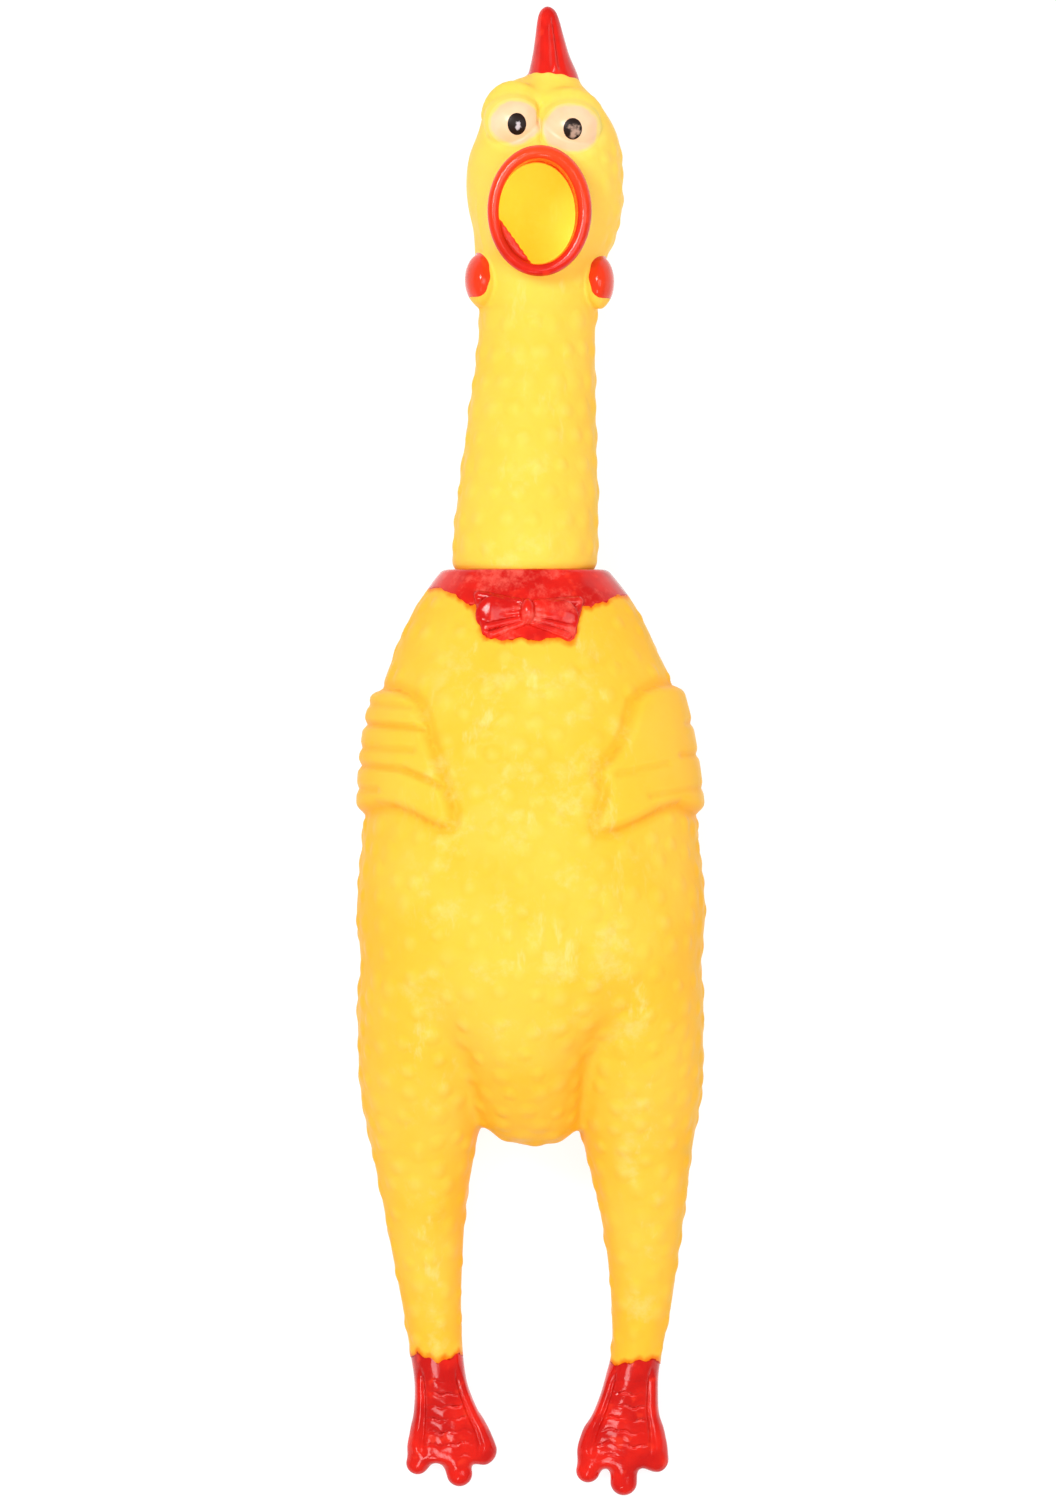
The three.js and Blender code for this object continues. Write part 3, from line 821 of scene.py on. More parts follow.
# Wing outlines as (x, y) on the front, from the shoulder down the feathered edge and back to the side.
WINGS = {
    "right": [
        (-60, 12.0), (-33, 12.2), (-29.6, 12.4), (-27.0, 12.1), (-24.9, 11.2), (-23.2, 9.6), (-22.2, 7.6),
        (-21.4, 4.6), (-20.5, 1.2), (-19.2, -2.8), (-17.8, -7.0), (-16.7, -10.4), (-16.0, -13.0),
        (-16.1, -14.9), (-17.0, -16.0), (-18.8, -16.3), (-21.4, -15.2), (-24.4, -13.4), (-28.0, -12.0),
        (-31.0, -11.8), (-35.0, -13.4), (-60, -13.4),
    ],
    "left": [
        (60, 12.4), (33, 12.6), (29.0, 13.3), (25.6, 13.1), (22.8, 12.0), (21.0, 10.0), (20.2, 7.2),
        (19.4, 4.0), (18.0, 0.8), (16.0, -1.8), (14.2, -3.4), (13.5, -4.9), (13.9, -6.4), (14.9, -7.9),
        (15.1, -9.6), (14.2, -12.0), (13.2, -14.4), (13.0, -16.0), (13.9, -17.2), (15.8, -17.3),
        (18.6, -16.5), (22.4, -14.8), (26.3, -12.6), (30.0, -11.4), (34.0, -13.4), (60, -13.4),
    ],
}
# Creases between feathers: from, to, depth.
WING_CREASES = [
    ((-45.0, 9.6), (-24.6, 8.4), 0.45),
    ((-45.0, 5.8), (-21.6, 4.0), 0.85),
    ((-45.0, 1.0), (-24.0, -0.6), 0.5),
    ((-45.0, -2.4), (-26.0, -4.4), 0.8),
    ((-26.0, -4.4), (-18.6, -7.6), 0.95),
    ((-45.0, -7.6), (-31.0, -8.6), 0.5),
    ((45.0, 6.0), (31.0, 5.0), 0.5),
    ((45.0, -0.4), (30.0, -1.6), 0.55),
    ((45.0, -6.4), (24.0, -10.0), 0.4),
    ((27.0, -3.4), (17.4, -5.4), 0.35),
]
CREASE_WIDTH = 0.75
WING_RISE = 1.75
WING_EDGE = 2.2  # how far in from its outline a wing reaches its full height
WING_ZONE = (10, -22, 18, 8)  # both wings lie past this |x|, between these y, and above this z
WING_FADE = (9, 16)  # z over which a wing fades out down the side


def outline_depth(outline, x, y):
    """Distance into a closed outline in the XY plane, below 0 outside it."""
    nearest = np.full(len(x), 1e9)
    inside = np.zeros(len(x), bool)
    for (x0, y0), (x1, y1) in zip(outline, outline[1:] + outline[:1]):
        dx, dy = x1 - x0, y1 - y0
        t = np.clip(((x - x0) * dx + (y - y0) * dy) / (dx * dx + dy * dy), 0, 1)
        nearest = np.minimum(nearest, (x - x0 - t * dx) ** 2 + (y - y0 - t * dy) ** 2)
        if dy:
            inside ^= ((y0 > y) != (y1 > y)) & (x < x0 + (y - y0) * dx / dy)
    return np.where(inside, 1, -1) * np.sqrt(nearest)


def near_wings(points):
    x, y, z = points.T
    least_x, low_y, high_y, least_z = WING_ZONE
    return (np.abs(x) > least_x) & (y > low_y) & (y < high_y) & (z > least_z)


def wing_depth(points):
    """Distance in the XY plane into the nearer wing."""
    depth = np.full(len(points), -99.0)
    near = near_wings(points)
    x, y = points[near, 0], points[near, 1]
    depth[near] = np.maximum(outline_depth(WINGS["right"], x, y), outline_depth(WINGS["left"], x, y))
    return depth


def feather_creases(points):
    """Depth of the creases between the feathers."""
    x, y, z = points.T
    flat = np.zeros(len(x))
    crease = np.zeros(len(x))
    for start, end, depth in WING_CREASES:
        away = bar((*start, 0), (*end, 0), 0)(x, y, flat)
        crease = np.maximum(crease, depth * np.exp(-((away / CREASE_WIDTH) ** 2)))
    return crease


def wing_relief(points, normals):
    """Wings raised from the skin, with creases between their feathers."""
    lift = np.zeros(len(points))
    near = near_wings(points)
    depth = wing_depth(points[near])
    t = np.clip(depth / WING_EDGE, 0, 1)
    rim = 0.3 * np.exp(-(((depth + 0.7) / 0.8) ** 2))
    crease = feather_creases(points[near]) * step_up(depth, 0.0, 1.2)
    lift[near] = (WING_RISE * (1 - (1 - t) ** 2) - crease - rim) * step_up(points[near, 2], *WING_FADE)
    return lift


def wing_hollow_shade(points):
    """1 in the hollow round each wing and in its creases, where the vinyl gets painted shade."""
    share = np.zeros(len(points))
    near = near_wings(points)
    depth = wing_depth(points[near])
    rim = 0.5 * np.exp(-(((depth + 0.3) / 1.3) ** 2))
    crease = 0.6 * feather_creases(points[near]) * step_up(depth, 0.0, 1.2)
    share[near] = np.maximum(rim, crease) * step_up(points[near, 2], *WING_FADE)
    return share


def table_flat(x, y, z):
    """Below the table's top, for flattening what rests on it."""
    return z + 0 * x + 0 * y


EVERYWHERE = ((-60, -170, -20), (60, 170, 80))


def body_form():
    form = Form()
    form.add(tube(TORSO, TORSO_SQUARENESS, 0.8), (-45, -90, -5), (45, 42, 60), 0.1)
    for leg in (RIGHT_LEG, LEFT_LEG):
        centre = leg[3][1]
        form.add(tube(leg, 2.0, 3.0), (centre - 22, -140, -5), (centre + 22, -24, 60), 3.2)
    form.carve(along_neck(20, 60, COLLAR_HOLE), (-20, 30, 0), (20, 60, 45), 0.5)
    hollow = inner([row for row in TORSO if 10 < row[0] < 37])
    form.carve(tube(hollow, TORSO_SQUARENESS, 1.0), (-35, 10, 0), (35, 37, 50), 0.5)
    form.carve(table_flat, *EVERYWHERE, CONTACT)
    return form


def not_table(points):
    """1 on the skin and 0 where it lies on the table."""
    return step_up(points[:, 2], 0.8, 3.0)


BOW_CORNERS = [(-12.2, 32.8), (-9.7, 22.9), (8.6, 22.7), (10.6, 31.0)]


def bow_region(points):
    """Distance into the outline round the bow tie, open at its top."""
    x, y = points[:, 0], points[:, 1]
    inside = np.full(len(points), 30.0)
    for (x0, y0), (x1, y1) in zip(BOW_CORNERS, BOW_CORNERS[1:]):
        length = math.hypot(x1 - x0, y1 - y0)
        inside = np.minimum(inside, ((x1 - x0) * (y - y0) - (y1 - y0) * (x - x0)) / length)
    return inside + 0.35 * np.sin(x * 0.9 + 0.6) + 0.15 * np.sin(x * 2.3 + y)


# The collar's painted edge in front, as (x, y).
COLLAR_EDGE = [
    (-30, 33.9), (-20, 33.7), (-17, 32.6), (-13, 30.0), (-8, 29.5),
    (8, 29.5), (12.5, 29.8), (16, 31.2), (19, 32.4), (30, 33.0),
]


def collar_paint(points):
    """Distance into the red of the collar and bow tie."""
    x, y, z = points.T
    edge = np.interp(x, *zip(*COLLAR_EDGE))
    edge = np.where(z < 21, 33.4 + 0.4 * np.sin(x * 0.7), edge)
    band = y - edge + 0.2 * np.sin(x * 1.7) + 0.1 * np.sin(x * 4.1 + 1)
    around_bow = np.where(z > 30, bow_region(points), -9)
    return np.maximum(band, around_bow)


def ankle_paint(points):
    """Distance into the red of the feet."""
    x, y, z = points.T
    right_edge = -127.4 + 0.7 * np.sin(x * 0.75 + 0.4) + 0.35 * np.sin(x * 2.3) - 0.03 * (z - 8)
    left_edge = -128.4 + 0.5 * np.sin(x * 0.6) + 0.3 * np.sin(x * 2.0 + 1)
    return np.where(x < 0, right_edge, left_edge) - y


def belly_creases(points, normals):
    """Faint upright creases low on the belly."""
    x, y, z = points.T
    depth = np.zeros(len(points))
    for middle, low, high, lean in ((-9.2, -56, -32, 0.05), (-2.4, -50, -30, -0.03), (2.9, -58, -30, 0.02)):
        across = x - middle - lean * (y + 45)
        along = step_up(y, low, low + 6) * (1 - step_up(y, high - 6, high))
        depth -= 0.16 * np.exp(-((across / 0.9) ** 2)) * along
    return depth * (z > 35)


body = Skin(body_form(), (-39, -131, -1.5), (39, 40, 56), 0.6, "torso")
body.drop("torso", ankle_paint)
body.split("torso", "right_leg", lambda p: LEG_SEAM - p[:, 1])
body.split("right_leg", "left_leg", lambda p: p[:, 0])
body.split("torso", "collar", collar_paint)
bare = not_table(body.points) * step_up(-collar_paint(body.points), 0.8, 2.0)
bare *= step_up(-wing_depth(body.points), 1.0, 2.2) * step_up(body.points[:, 1] + 127, 0, 1)
body_pimples = scattered(body.points, bare > 0.7, 4.6, 11)
body.raised([pimples(body_pimples, 2.7, 0.34)], [numeric(belly_creases), numeric(wing_relief)])


def paint_layer(distance):
    """The paint attribute for a distance into the paint."""
    return {"paint": lambda p: np.clip(distance(p) + PAINT_EDGE, 0, 2 * PAINT_EDGE)}


def collar_highlight(points):
    """1 in front, where the collar and bow get painted highlights."""
    return step_up(points[:, 2], 28, 34)


# painted highlights for the collar and bow
COLLAR_HIGHLIGHT = {"collar_highlight": collar_highlight}
# the hollow attribute carries the painted shade round the wings
UNDER_COLLAR = {**paint_layer(collar_paint), "hollow": wing_hollow_shade}
NEAR_FOOT = paint_layer(lambda p: np.minimum(ankle_paint(p) + 0.2, 0))
body.piece(
    "torso", "torso_skin", VINYL, ("body", "belly", (0, -30, 41), (0, -30, 54)),
    ("torso_shell", "belly_panel", "right_wing", "left_wing"), UNDER_COLLAR,
)
body.piece("collar", "collar_skin", PAINT_RED, "body", ("collar",), COLLAR_HIGHLIGHT)

LEG_BEND = {"right": (-22.5, -92.5, 16), "left": (22.8, -92.5, 16)}
for side, (x, y, z) in LEG_BEND.items():
    leg = f"{side}_leg"
    body.piece(
        leg, f"{leg}_skin", VINYL, ("body", leg, (x, y + 7.5, z), (x, y - 8, z)),
        (f"{leg}_shell", f"{side}_hip_bend"), NEAR_FOOT,
    )

# ---------------------------------------------------------------- feet

# Stations, toes, and the phase of the wrinkles.
FEET = {
    "right": (RIGHT_FOOT, RIGHT_TOES, 0.0),
    "left": (LEFT_FOOT, LEFT_TOES, 1.3),
}
SCUTE = 2.75  # from one crease across the foot to the next


def foot_relief(stations, phase):
    """Raised flanges down both edges, and scutes across the front between them."""
    table_y, (cx, _, a, _) = smooth_table(stations)

    def height(points, normals):
        x, y, z = points.T
        u = (x - np.interp(y, table_y, cx)) / np.interp(y, table_y, a)
        front = step_up(normals[:, 2], 0.05, 0.5)
        edge = np.abs(u)
        flange = 0.35 * np.exp(-(((edge - 0.86) / 0.1) ** 2)) - 0.5 * np.exp(-(((edge - 0.68) / 0.06) ** 2))
        flange *= step_up(-y, 129, 133) * (1 - step_up(-y, 146, 149))
        row = (y + 1.4 * u * u + 0.45 * np.sin(x * 0.6 + phase) + 0.2 * np.sin(x * 1.9 - phase)) / SCUTE
        groove = np.exp(-((np.sin(np.pi * row) / 0.3) ** 2))
        groove *= 0.6 + 0.4 * np.sin(x * 0.8 + 2.1 * np.round(row) + phase)
        lumps = 0.05 * np.sin(x * 1.6 + y * 0.9 + phase) * np.sin(y * 1.3 - x * 0.4)
        ridges = (lumps - 0.38 * groove) * (1 - step_up(edge, 0.5, 0.68))
        ridges *= step_up(-y, 131.5, 134) * (1 - step_up(-y, 146.5, 149.5))
        return (flange + ridges) * front

    return height


for side, (stations, toes, phase) in FEET.items():
    form = Form()
    middle = stations[2][1]
    low, high = (middle - 18, -158, -4), (middle + 18, -118, 24)
    form.add(tube(stations, 2.3, 1.5), low, high, 0.1)
    for start, end, radius in toes:
        form.add(bar(start, end, radius, radius, flatness=0.85), low, high, 1.8)
    form.carve(table_flat, *EVERYWHERE, 0.5)
    foot = Skin(form, (middle - 14, -157, -1), (middle + 14, -124, 17), 0.36, "foot")
    foot.drop("foot", lambda p: -ankle_paint(p))
    foot.raised(others=[numeric(foot_relief(stations, phase))])
    foot.piece("foot", f"{side}_foot_skin", PAINT_RED, f"{side}_leg", (f"{side}_foot",))

# ---------------------------------------------------------------- bow tie

bow = Form()
bow_low, bow_high = (-16, 18, 28), (14, 38, 48)
KNOT = (-0.9, 28.3)
FOLDS = [
    # from, to, radius there and there, lift there
    ((-2.4, 30.4), (-11.0, 31.8), 0.8, 1.1, 0.6),
    ((-2.6, 29.3), (-10.4, 29.6), 0.65, 0.9, 0.5),
    ((-2.6, 28.1), (-9.9, 27.4), 0.65, 0.9, 0.5),
    ((-2.4, 26.9), (-9.3, 25.3), 0.65, 0.9, 0.5),
    ((-2.0, 25.9), (-8.4, 23.6), 0.7, 0.9, 0.5),
    ((-11.2, 31.6), (-9.6, 24.2), 0.8, 0.8, 0.5),
    ((0.8, 30.2), (9.6, 30.6), 0.8, 1.1, 0.6),
    ((1.0, 29.0), (9.0, 28.6), 0.65, 0.9, 0.5),
    ((1.0, 27.9), (8.5, 26.7), 0.65, 0.9, 0.5),
    ((0.8, 26.8), (8.0, 25.0), 0.65, 0.9, 0.5),
    ((0.4, 25.9), (7.4, 23.5), 0.7, 0.9, 0.5),
    ((9.9, 30.4), (8.2, 24.0), 0.8, 0.8, 0.5),
]
PLATES = [((-3.4, 28.2), (-7.6, 27.8), 2.4, 4.1), ((1.4, 28.2), (6.0, 27.2), 2.4, 3.7)]
for start, end, radius, end_radius in PLATES:
    low_plate = bar(on_front(*start, -0.3), on_front(*end, -0.3), radius, end_radius, flatness=0.3)
    bow.add(low_plate, bow_low, bow_high, 0.4)
for start, end, radius, end_radius, lift in FOLDS:
    bow.add(bar(on_front(*start, lift - 0.4), on_front(*end, lift - 0.4), radius, end_radius, flatness=0.9),
            bow_low, bow_high, 0.25)
bow.add(ellipsoid(on_front(*KNOT, 0.5), (1.6, 2.9, 1.9)), bow_low, bow_high, 0.25)
bow_skin = Skin(bow, bow_low, bow_high, 0.3, "bow")
bow_skin.raised()
bow_skin.piece("bow", "bow_tie_skin", PAINT_RED, "body", ("bow_tie",), COLLAR_HIGHLIGHT)

# ---------------------------------------------------------------- neck and head moulding

RIM_CENTRE, RIM_HALF = node_box("beak_rim")
LIP_CENTRE = RIM_CENTRE - np.array((0.0, 0.5, 0.0))
LIP_HALF = RIM_HALF + np.array((-0.1, 0.2, 0.0))
LIP_Z = LIP_CENTRE[2] - 0.6
MOUTH_CENTRE = LIP_CENTRE[:2] + np.array((-0.7, -0.45))
MOUTH_HALF = LIP_HALF[:2] - np.array((3.0, 3.3))
CHORD_POINT = (-6.6, 110.0)  # the mouth was cut straight across here
CHORD_NORMAL = (0.823, 0.568)
EYES = {
    # bulge centre and half sizes, then the painted white's centre and half sizes
    "right": ((-3.8, 130.8, 23.4), (6.3, 6.0, 6.2), (-3.5, 130.4), (5.6, 5.1)),
    "left": ((7.9, 129.8, 23.2), (6.6, 6.0, 6.2), (8.1, 129.1), (6.2, 5.4)),
}
PUPILS = {"right": ((-3.1, 130.0), (1.95, 2.3)), "left": ((8.5, 129.0), (1.95, 2.25))}
# A brow is an arc: centre, radii, z at its ends and its top, and the angles in degrees of its ends.
BROWS = {
    "right": ((-3.7, 131.4), (4.9, 5.9), 19.0, 22.6, 10, 170),
    "left": ((7.6, 130.4), (5.9, 5.5), 18.0, 22.6, -5, 165),
}
BROW = 2.1  # radius of a brow


def arc(centre, radii, end_z, top_z, first, last, steps=14):
    points = []
    for angle in np.radians(np.linspace(first, last, steps)):
        rise = max(math.sin(angle), 0)
        z = end_z + (top_z - end_z) * rise
        points.append((centre[0] + radii[0] * math.cos(angle), centre[1] + radii[1] * math.sin(angle), z))
    return points


WATTLES = {
    # centre and half sizes of the bulge, then of its painted part
    "right": ((-10.4, 97.9, 20.0), (3.6, 5.6, 6.6), (-11.4, 98.9), (2.7, 4.7)),
    "left": ((13.8, 97.5, 20.0), (3.4, 5.6, 6.6), (14.6, 98.4), (2.7, 4.5)),
}


def oval(centre, half, x, y):
    """A distance in the XY plane from an oval, below 0 inside it."""
    u, v = (x - centre[0]) / half[0], (y - centre[1]) / half[1]
    k = np.sqrt(u * u + v * v) + 1e-6
    return k * (k - 1) / (np.sqrt((u / half[0]) ** 2 + (v / half[1]) ** 2) + 1e-4)


def lip_radius(x, y):
    """The lip is fatter on the chicken's left and at the top."""
    u, v = (x - LIP_CENTRE[0]) / LIP_HALF[0], (y - LIP_CENTRE[1]) / LIP_HALF[1]
    return 1.42 + 0.2 * np.clip(u, -1, 1) + 0.12 * np.clip(v, -1, 1)


def lip_tube(x, y, z):
    radius = lip_radius(x, y)
    ring = oval(LIP_CENTRE, LIP_HALF, x, y) + radius
    return np.sqrt(ring**2 + ((z - LIP_Z) * 0.85) ** 2) - radius


def snout(x, y, z):
    flare = np.clip((LIP_Z - z) / 12, 0, 1)
    grown = oval(LIP_CENTRE, LIP_HALF - 1.3, x, y) - 3.2 * flare**1.6
    return soft_max(grown, z - LIP_Z, 0.4)


def mouth_hole(x, y, z):
    across = (x - CHORD_POINT[0]) * CHORD_NORMAL[0] + (y - CHORD_POINT[1]) * CHORD_NORMAL[1]
    ragged = 0.12 * np.sin(x * 2.1 + y * 1.7) + 0.08 * np.sin(y * 5.3)
    ledge = np.clip((LIP_Z - z) / 3.5, 0, 1)
    within_lip = oval(LIP_CENTRE, LIP_HALF, x, y) + 2 * lip_radius(x, y) - 0.1
    wide = within_lip * (1 - ledge) + oval(MOUTH_CENTRE, MOUTH_HALF, x, y) * ledge
    opening = np.maximum(wide, -across + ragged)
    below = np.maximum(wide - 0.3, z - (LIP_Z - 1.6))
    return np.maximum(np.minimum(opening, below), 13 - z)


HEAD_LOW, HEAD_HIGH = (-22, 86, -5), (26, 145, 48)


def head_form():
    form = Form()
    form.add(tube(NECK, 2.0, 1.2), (-25, 30, -5), (25, 104, 45), 0.1)
    form.add(tube(HEAD, 2.1, 2.5), HEAD_LOW, HEAD_HIGH, 3.0)
    for centre, half, _, _ in WATTLES.values():
        form.add(ellipsoid(centre, half), np.array(centre) - 10, np.array(centre) + 10, 1.0)
    for centre, half, _, _ in EYES.values():
        form.add(ellipsoid(centre, half), np.array(centre) - 9, np.array(centre) + 9, 0.5)
    for brow in BROWS.values():
        path = np.array(arc(*brow))
        form.add(chain(path, BROW), path.min(axis=0) - BROW, path.max(axis=0) + BROW, 1.6)
    form.add(snout, (-15, 92, 18), (18, 132, 40), 2.0)
    form.add(lip_tube, (-15, 92, 28), (18, 132, 42), 0.25)
    form.add(tube(COMB, 2.0, 1.8), (-5, 134, 0), (14, 157, 28), 1.2)
    form.add(along_neck(24, 40, PLUG), (-16, 22, 5), (14, 42, 37), 0.4)
    form.carve(tube(inner(NECK), 2.0, 1.0), (-20, 44, 0), (20, 104, 40), 0.5)
    form.carve(tube(inner(HEAD[:-1]), 2.1, 2.0), HEAD_LOW, HEAD_HIGH, 0.5)
    form.carve(mouth_hole, (-12, 96, 12), (14, 128, 42), 0.25)
    form.carve(along_neck(10, 46, PLUG_BORE), (-14, 15, 8), (12, 60, 34), 0.3)
    form.carve(table_flat, *EVERYWHERE, CONTACT)
    return form


def comb_paint(points):
    x, y, z = points.T
    return y - (141.0 - 0.10 * (x - 4.3) - 0.02 * (x - 4.3) ** 2 + 0.12 * np.sin(x * 2.2))


def lips_paint(points):
    x, y, z = points.T
    tube_part = 0.12 - lip_tube(x, y, z)
    inner = np.minimum(-oval(LIP_CENTRE, LIP_HALF - 1.5, x, y), z - (LIP_Z - 1.9))
    return np.maximum(tube_part, inner)


def inside_mouth(points):
    """The red that runs down the mouth's inner wall, fading with depth."""
    x, y, z = points.T
    within = step_up(-oval(LIP_CENTRE, LIP_HALF - 1.5, x, y), -0.2, 0.6)
    return PAINT_EDGE * within * np.minimum(1.5 * step_up(z, LIP_Z - 7.5, LIP_Z - 1.5), 1.05)


def lips_thin(points):
    """How much of the yellow shows through the red of the lip, most at its top."""
    up = (points[:, 1] - LIP_CENTRE[1]) / LIP_HALF[1]
    return 0.4 + 0.35 * np.clip(up, -1, 1)


def eye_paint(side):
    centre, half = EYES[side][2:]
    return lambda p: np.where(p[:, 2] > 20, -oval(centre, half, p[:, 0], p[:, 1]), -9.0)


def pupil_area(side):
    centre, half = PUPILS[side]
    return lambda p: np.where(p[:, 2] > 20, -oval(centre, half, p[:, 0], p[:, 1]), -9.0)


def wattle_paint(side):
    """Distance into an oval that wraps round the outside, rounded off below on the side."""
    middle = WATTLES[side][0][2]
    centre, half = WATTLES[side][2:]
    nearer = np.maximum if side == "right" else np.minimum

    def depth(points):
        x, y, z = points.T
        from_front = -oval(centre, half, nearer(x, centre[0]), y) + 0.08 * np.sin(y * 2.0)
        from_side = -oval((centre[1], 0), (half[1] + 0.2, 7.0), y, np.minimum(z - middle, 0))
        return np.minimum(from_front, from_side)

    return depth


head = Skin(head_form(), (-18, 22, -1.5), (24, 157, 40), 0.42, "neck")
head.split("neck", "head", lambda p: p[:, 1] - NECK_SEAM)
head.split("head", "comb", comb_paint)
head.split("head", "lips", lips_paint)
for side in ("right", "left"):
    head.split("head", f"{side}_eye", eye_paint(side))
    head.split(f"{side}_eye", f"{side}_pupil", pupil_area(side))
    head.split("head", f"{side}_wattle", wattle_paint(side))


RING_SPACING = 5.9
RING_PIMPLES = 15
RING_START = 17  # radius that a ring's pimples start at, before they settle on the skin


def neck_rings():
    """Pimples of the neck, in rings with each ring turned half a step from the last."""
    spots = []
    rng = np.random.default_rng(5)
    for row, y in enumerate(np.arange(42.0, 95.0, RING_SPACING)):
        for i in range(RING_PIMPLES):
            angle = 2 * math.pi * (i + 0.5 * (row % 2) + rng.uniform(-0.12, 0.12)) / RING_PIMPLES
            centre_x = NECK_AXIS[0] + (y - 40) * 0.053
            centre_z = NECK_AXIS[1] - (y - 40) * 0.107
            y_here = y + rng.uniform(-0.5, 0.5)
            x, z = centre_x + RING_START * math.cos(angle), centre_z + RING_START * math.sin(angle)
            spots.append((x, y_here, z))
    return head.form.settle(np.array(spots), 8, 2.0)


def off_wattles(points):
    """0 on the painted wattles and 1 away from them."""
    share = np.ones(len(points))
    for _, _, centre, half in WATTLES.values():
        share *= step_up(oval(centre, np.array(half) + 0.8, points[:, 0], points[:, 1]), 0, 1.2)
    return share


def head_bare(points):
    """1 where the head has pimples: low on its sides, not round the eyes and mouth, nor inside."""
    x, y, z = points.T
    share = not_table(points) * step_up(y, 94, 96) * (1 - step_up(y, 124, 130)) * off_wattles(points)
    share *= np.clip(step_up(oval(LIP_CENTRE, LIP_HALF + 2.0, x, y), 0.3, 1.6) + (z < 14), 0, 1)
    return share * (1 - 0.75 * step_up(-x, 0, 4) * step_up(z, 10, 14))


def outer_only(points):
    """1 on the outside of the neck and head and 0 on their inner wall."""
    stations = [row for row in NECK if row[0] < NECK_SEAM] + [row for row in HEAD if row[0] > NECK_SEAM]
    table_y, (cx, cz, a, b) = smooth_table(stations)
    x, y, z = points.T
    centre_x, centre_z, half_width, half_depth = (np.interp(y, table_y, column) for column in (cx, cz, a, b))
    k = np.hypot((x - centre_x) / half_width, (z - centre_z) / half_depth)
    return step_up(k, 0.90, 0.97)


def painted_inner_glow(points):
    """1 on the head's inner wall, which gets a painted glow in place of the light that comes through the
    vinyl.
    """
    deep = 1 - step_up(points[:, 2], LIP_Z - 9, LIP_Z - 4)
    y = points[:, 1]
    return deep * (1 - outer_only(points)) * step_up(y, 92, 94) * (1 - step_up(y, 130, 134))


ring_spots = neck_rings()
allowed = (head_bare(head.points) > 0.6) & (outer_only(head.points) > 0.9)
head_spots = scattered(head.points, allowed, 4.2, 3)


def neck_fade(points):
    y = points[:, 1]
    ends = step_up(y, 38.5, 40.5) * (1 - step_up(y, 92, 97))
    return outer_only(points) * not_table(points) * ends * off_wattles(points)


def round_eyes(points):
    """Paler yellow on the skin round the eyes, on the front of the head."""
    share = np.zeros(len(points))
    for _, _, centre, half in EYES.values():
        share = np.maximum(share, 1 - step_up(oval(centre, half, points[:, 0], points[:, 1]), 0.2, 4.5))
    return 0.9 * share * step_up(points[:, 2], 15, 20)


NECK_PALE = 0.28  # the neck is a little paler than the body, and the head a little more


def neck_pale(points):
    return NECK_PALE * np.ones(len(points))


def head_pale(points):
    return np.maximum(round_eyes(points), NECK_PALE + 0.3 * step_up(points[:, 1], 92, 104))


def eye_crease(points, normals):
    """The narrow crease between the two eyes."""
    x, y, z = points.T
    along = step_up(y, 125.5, 127.5) * (1 - step_up(y, 133, 136)) * step_up(z, 20, 22)
    return -0.8 * np.exp(-(((x - 1.65) / 0.42) ** 2)) * along


def comb_ridges(points, normals):
    x, y, z = points.T
    middle = 4.3 - (y - 140) * 0.07
    width = np.interp(y, [139, 155], [5.0, 1.6])
    u = (x - middle) / width
    ridges = 0.6 * np.exp(-(((u - 0.16) / 0.16) ** 2)) - 0.4 * np.exp(-(((u - 0.42) / 0.12) ** 2))
    ridges -= 0.35 * np.exp(-(((u + 0.16) / 0.13) ** 2))
    return ridges * step_up(y, 140.5, 143) * (1 - step_up(y, 150, 154)) * step_up(normals[:, 2], 0, 0.5)


head.raised(
    [
        pimples(ring_spots, 2.8, 0.36, neck_fade),
        pimples(head_spots, 2.6, 0.32, lambda p: outer_only(p) * head_bare(p)),
    ],
    [numeric(comb_ridges), numeric(eye_crease)],
)
head.piece(
    "neck", "neck_skin", VINYL, ("neck", "head", (0, 50, 19), (0, 72, 19)),
    ("neck_base_shell", "neck_bend"), {"pale": neck_pale},
)
# the head's inner wall gets a painted glow
head.piece(
    "head", "head_skin", VINYL, "head", ("head_shell",),
    {"paint": inside_mouth, "inner": painted_inner_glow, "pale": head_pale},
)
head.piece("comb", "comb_skin", PAINT_RED, "head", ("comb",))
head.piece("lips", "beak_rim_skin", PAINT_RED, "head", ("beak_rim",), {"thin": lips_thin})
PUPIL_PAINTS = {"right": PUPIL_RIGHT, "left": PUPIL_LEFT}
RUBBED_AND_GLINT = {"right": (-2.0, -0.6), "left": (-1.8, 0.1)}  # from all pale to none, round the middle; the pale is partly rubbed-off paint and partly a painted reflection
WATTLE_THIN = 0.45


def eye_edge(side):
    """1 at the edge of the white, 0 further in."""
    centre, half = EYES[side][2:]
    return lambda p: step_up(oval(centre, half, p[:, 0], p[:, 1]), -1.6, 0.1)


def pupil_rubbed_and_glint(side):
    """1 in the pale patch near the pupil's middle, which is partly rubbed-off paint and partly a painted
    reflection.
    """
    (x, y), half = PUPILS[side]
    middle = (x + 0.3, y - 0.3)
    return lambda p: 1 - step_up(oval(middle, half, p[:, 0], p[:, 1]), *RUBBED_AND_GLINT[side])


for side in ("right", "left"):
    eye, pupil, wattle = f"{side}_eye", f"{side}_pupil", f"{side}_wattle"
    head.piece(eye, f"{eye}_skin", PAINT_CREAM, "head", (eye,), {"paint": eye_edge(side)})
    head.piece(
        pupil, f"{pupil}_skin", PUPIL_PAINTS[side], "head", (pupil,),
        {"paint": pupil_rubbed_and_glint(side)},
    )
    head.piece(
        wattle, f"{wattle}_skin", PAINT_RED, "head", (wattle,),
        {"thin": lambda p: np.full(len(p), WATTLE_THIN)},
    )

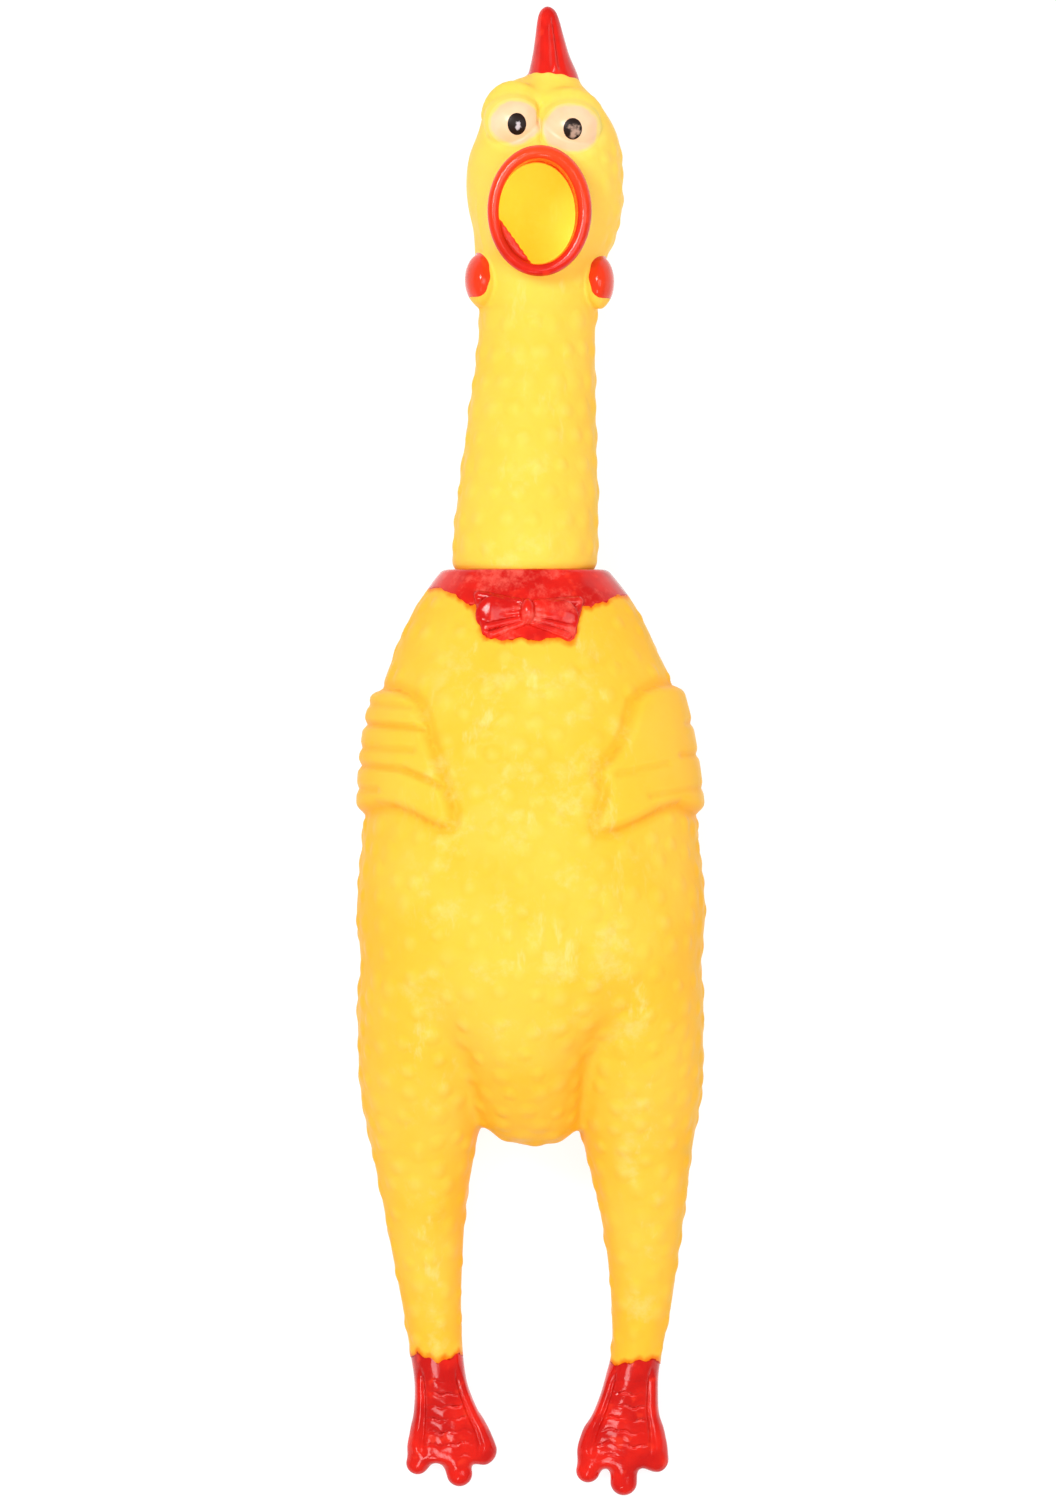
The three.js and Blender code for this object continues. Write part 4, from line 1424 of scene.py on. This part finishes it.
# ---------------------------------------------------------------- sounder

WHITE_PLASTIC = sounder_plastic("sounder_plastic", (0.86, 0.86, 0.82, 1), 0.4)
REED_FILM = sounder_plastic("reed_film", (0.8, 0.74, 0.58, 1), 0.25)
for name in ("sounder_housing", "sounder_grille", "reed_tube", "reed_clamp", "reed_tongue"):
    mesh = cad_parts[name].data
    mesh.materials.clear()
    mesh.materials.append(REED_FILM if name == "reed_tongue" else WHITE_PLASTIC)

# ---------------------------------------------------------------- floor and light

FLOOR = 6.0  # half of its side, in metres
FLOOR_GLOW = 0.86  # the photograph's background is close to white
floor_mesh = bpy.data.meshes.new("floor")
corners = [(x * FLOOR, y * FLOOR, 0) for x, y in ((-1, -1), (1, -1), (1, 1), (-1, 1))]
floor_mesh.from_pydata(corners, [], [(0, 1, 2, 3)])
floor = bpy.data.objects.new("floor", floor_mesh)
scene.collection.objects.link(floor)
floor.location.z = -0.0002
white = Nodes("floor_white")
floor_mesh.materials.append(white.finish(
    Base_Color=(0.22, 0.22, 0.22, 1), Roughness=1.0, Specular_IOR_Level=0.0,
    Emission_Color=(1, 1, 1, 1), Emission_Strength=FLOOR_GLOW,
))


def softbox(name, place, size, power, aim=(0, 0, 0.02)):
    """A rectangular light that points at aim, all in metres and watts."""
    light = bpy.data.lights.new(name, "AREA")
    light.shape = "RECTANGLE"
    light.size, light.size_y = size
    light.energy = power
    obj = bpy.data.objects.new(name, light)
    scene.collection.objects.link(obj)
    obj.location = place
    obj.rotation_euler = (Vector(aim) - Vector(place)).to_track_quat("-Z", "Y").to_euler()
    obj.visible_camera = False


softbox("key", (-0.32, 0.28, 0.95), (0.28, 0.28), 6.5)
softbox("fill", (0.35, -0.05, 1.0), (0.6, 0.8), 5.3)
softbox("low", (-0.2, -0.8, 0.75), (0.22, 0.22), 1.5, (0, -0.13, 0.01))
scene.world = bpy.data.worlds.new("world")
scene.world.use_nodes = True
scene.world.node_tree.nodes["Background"].inputs["Color"].default_value = (1, 1, 1, 1)
scene.world.node_tree.nodes["Background"].inputs["Strength"].default_value = 0.42
scene.view_settings.view_transform = "Standard"
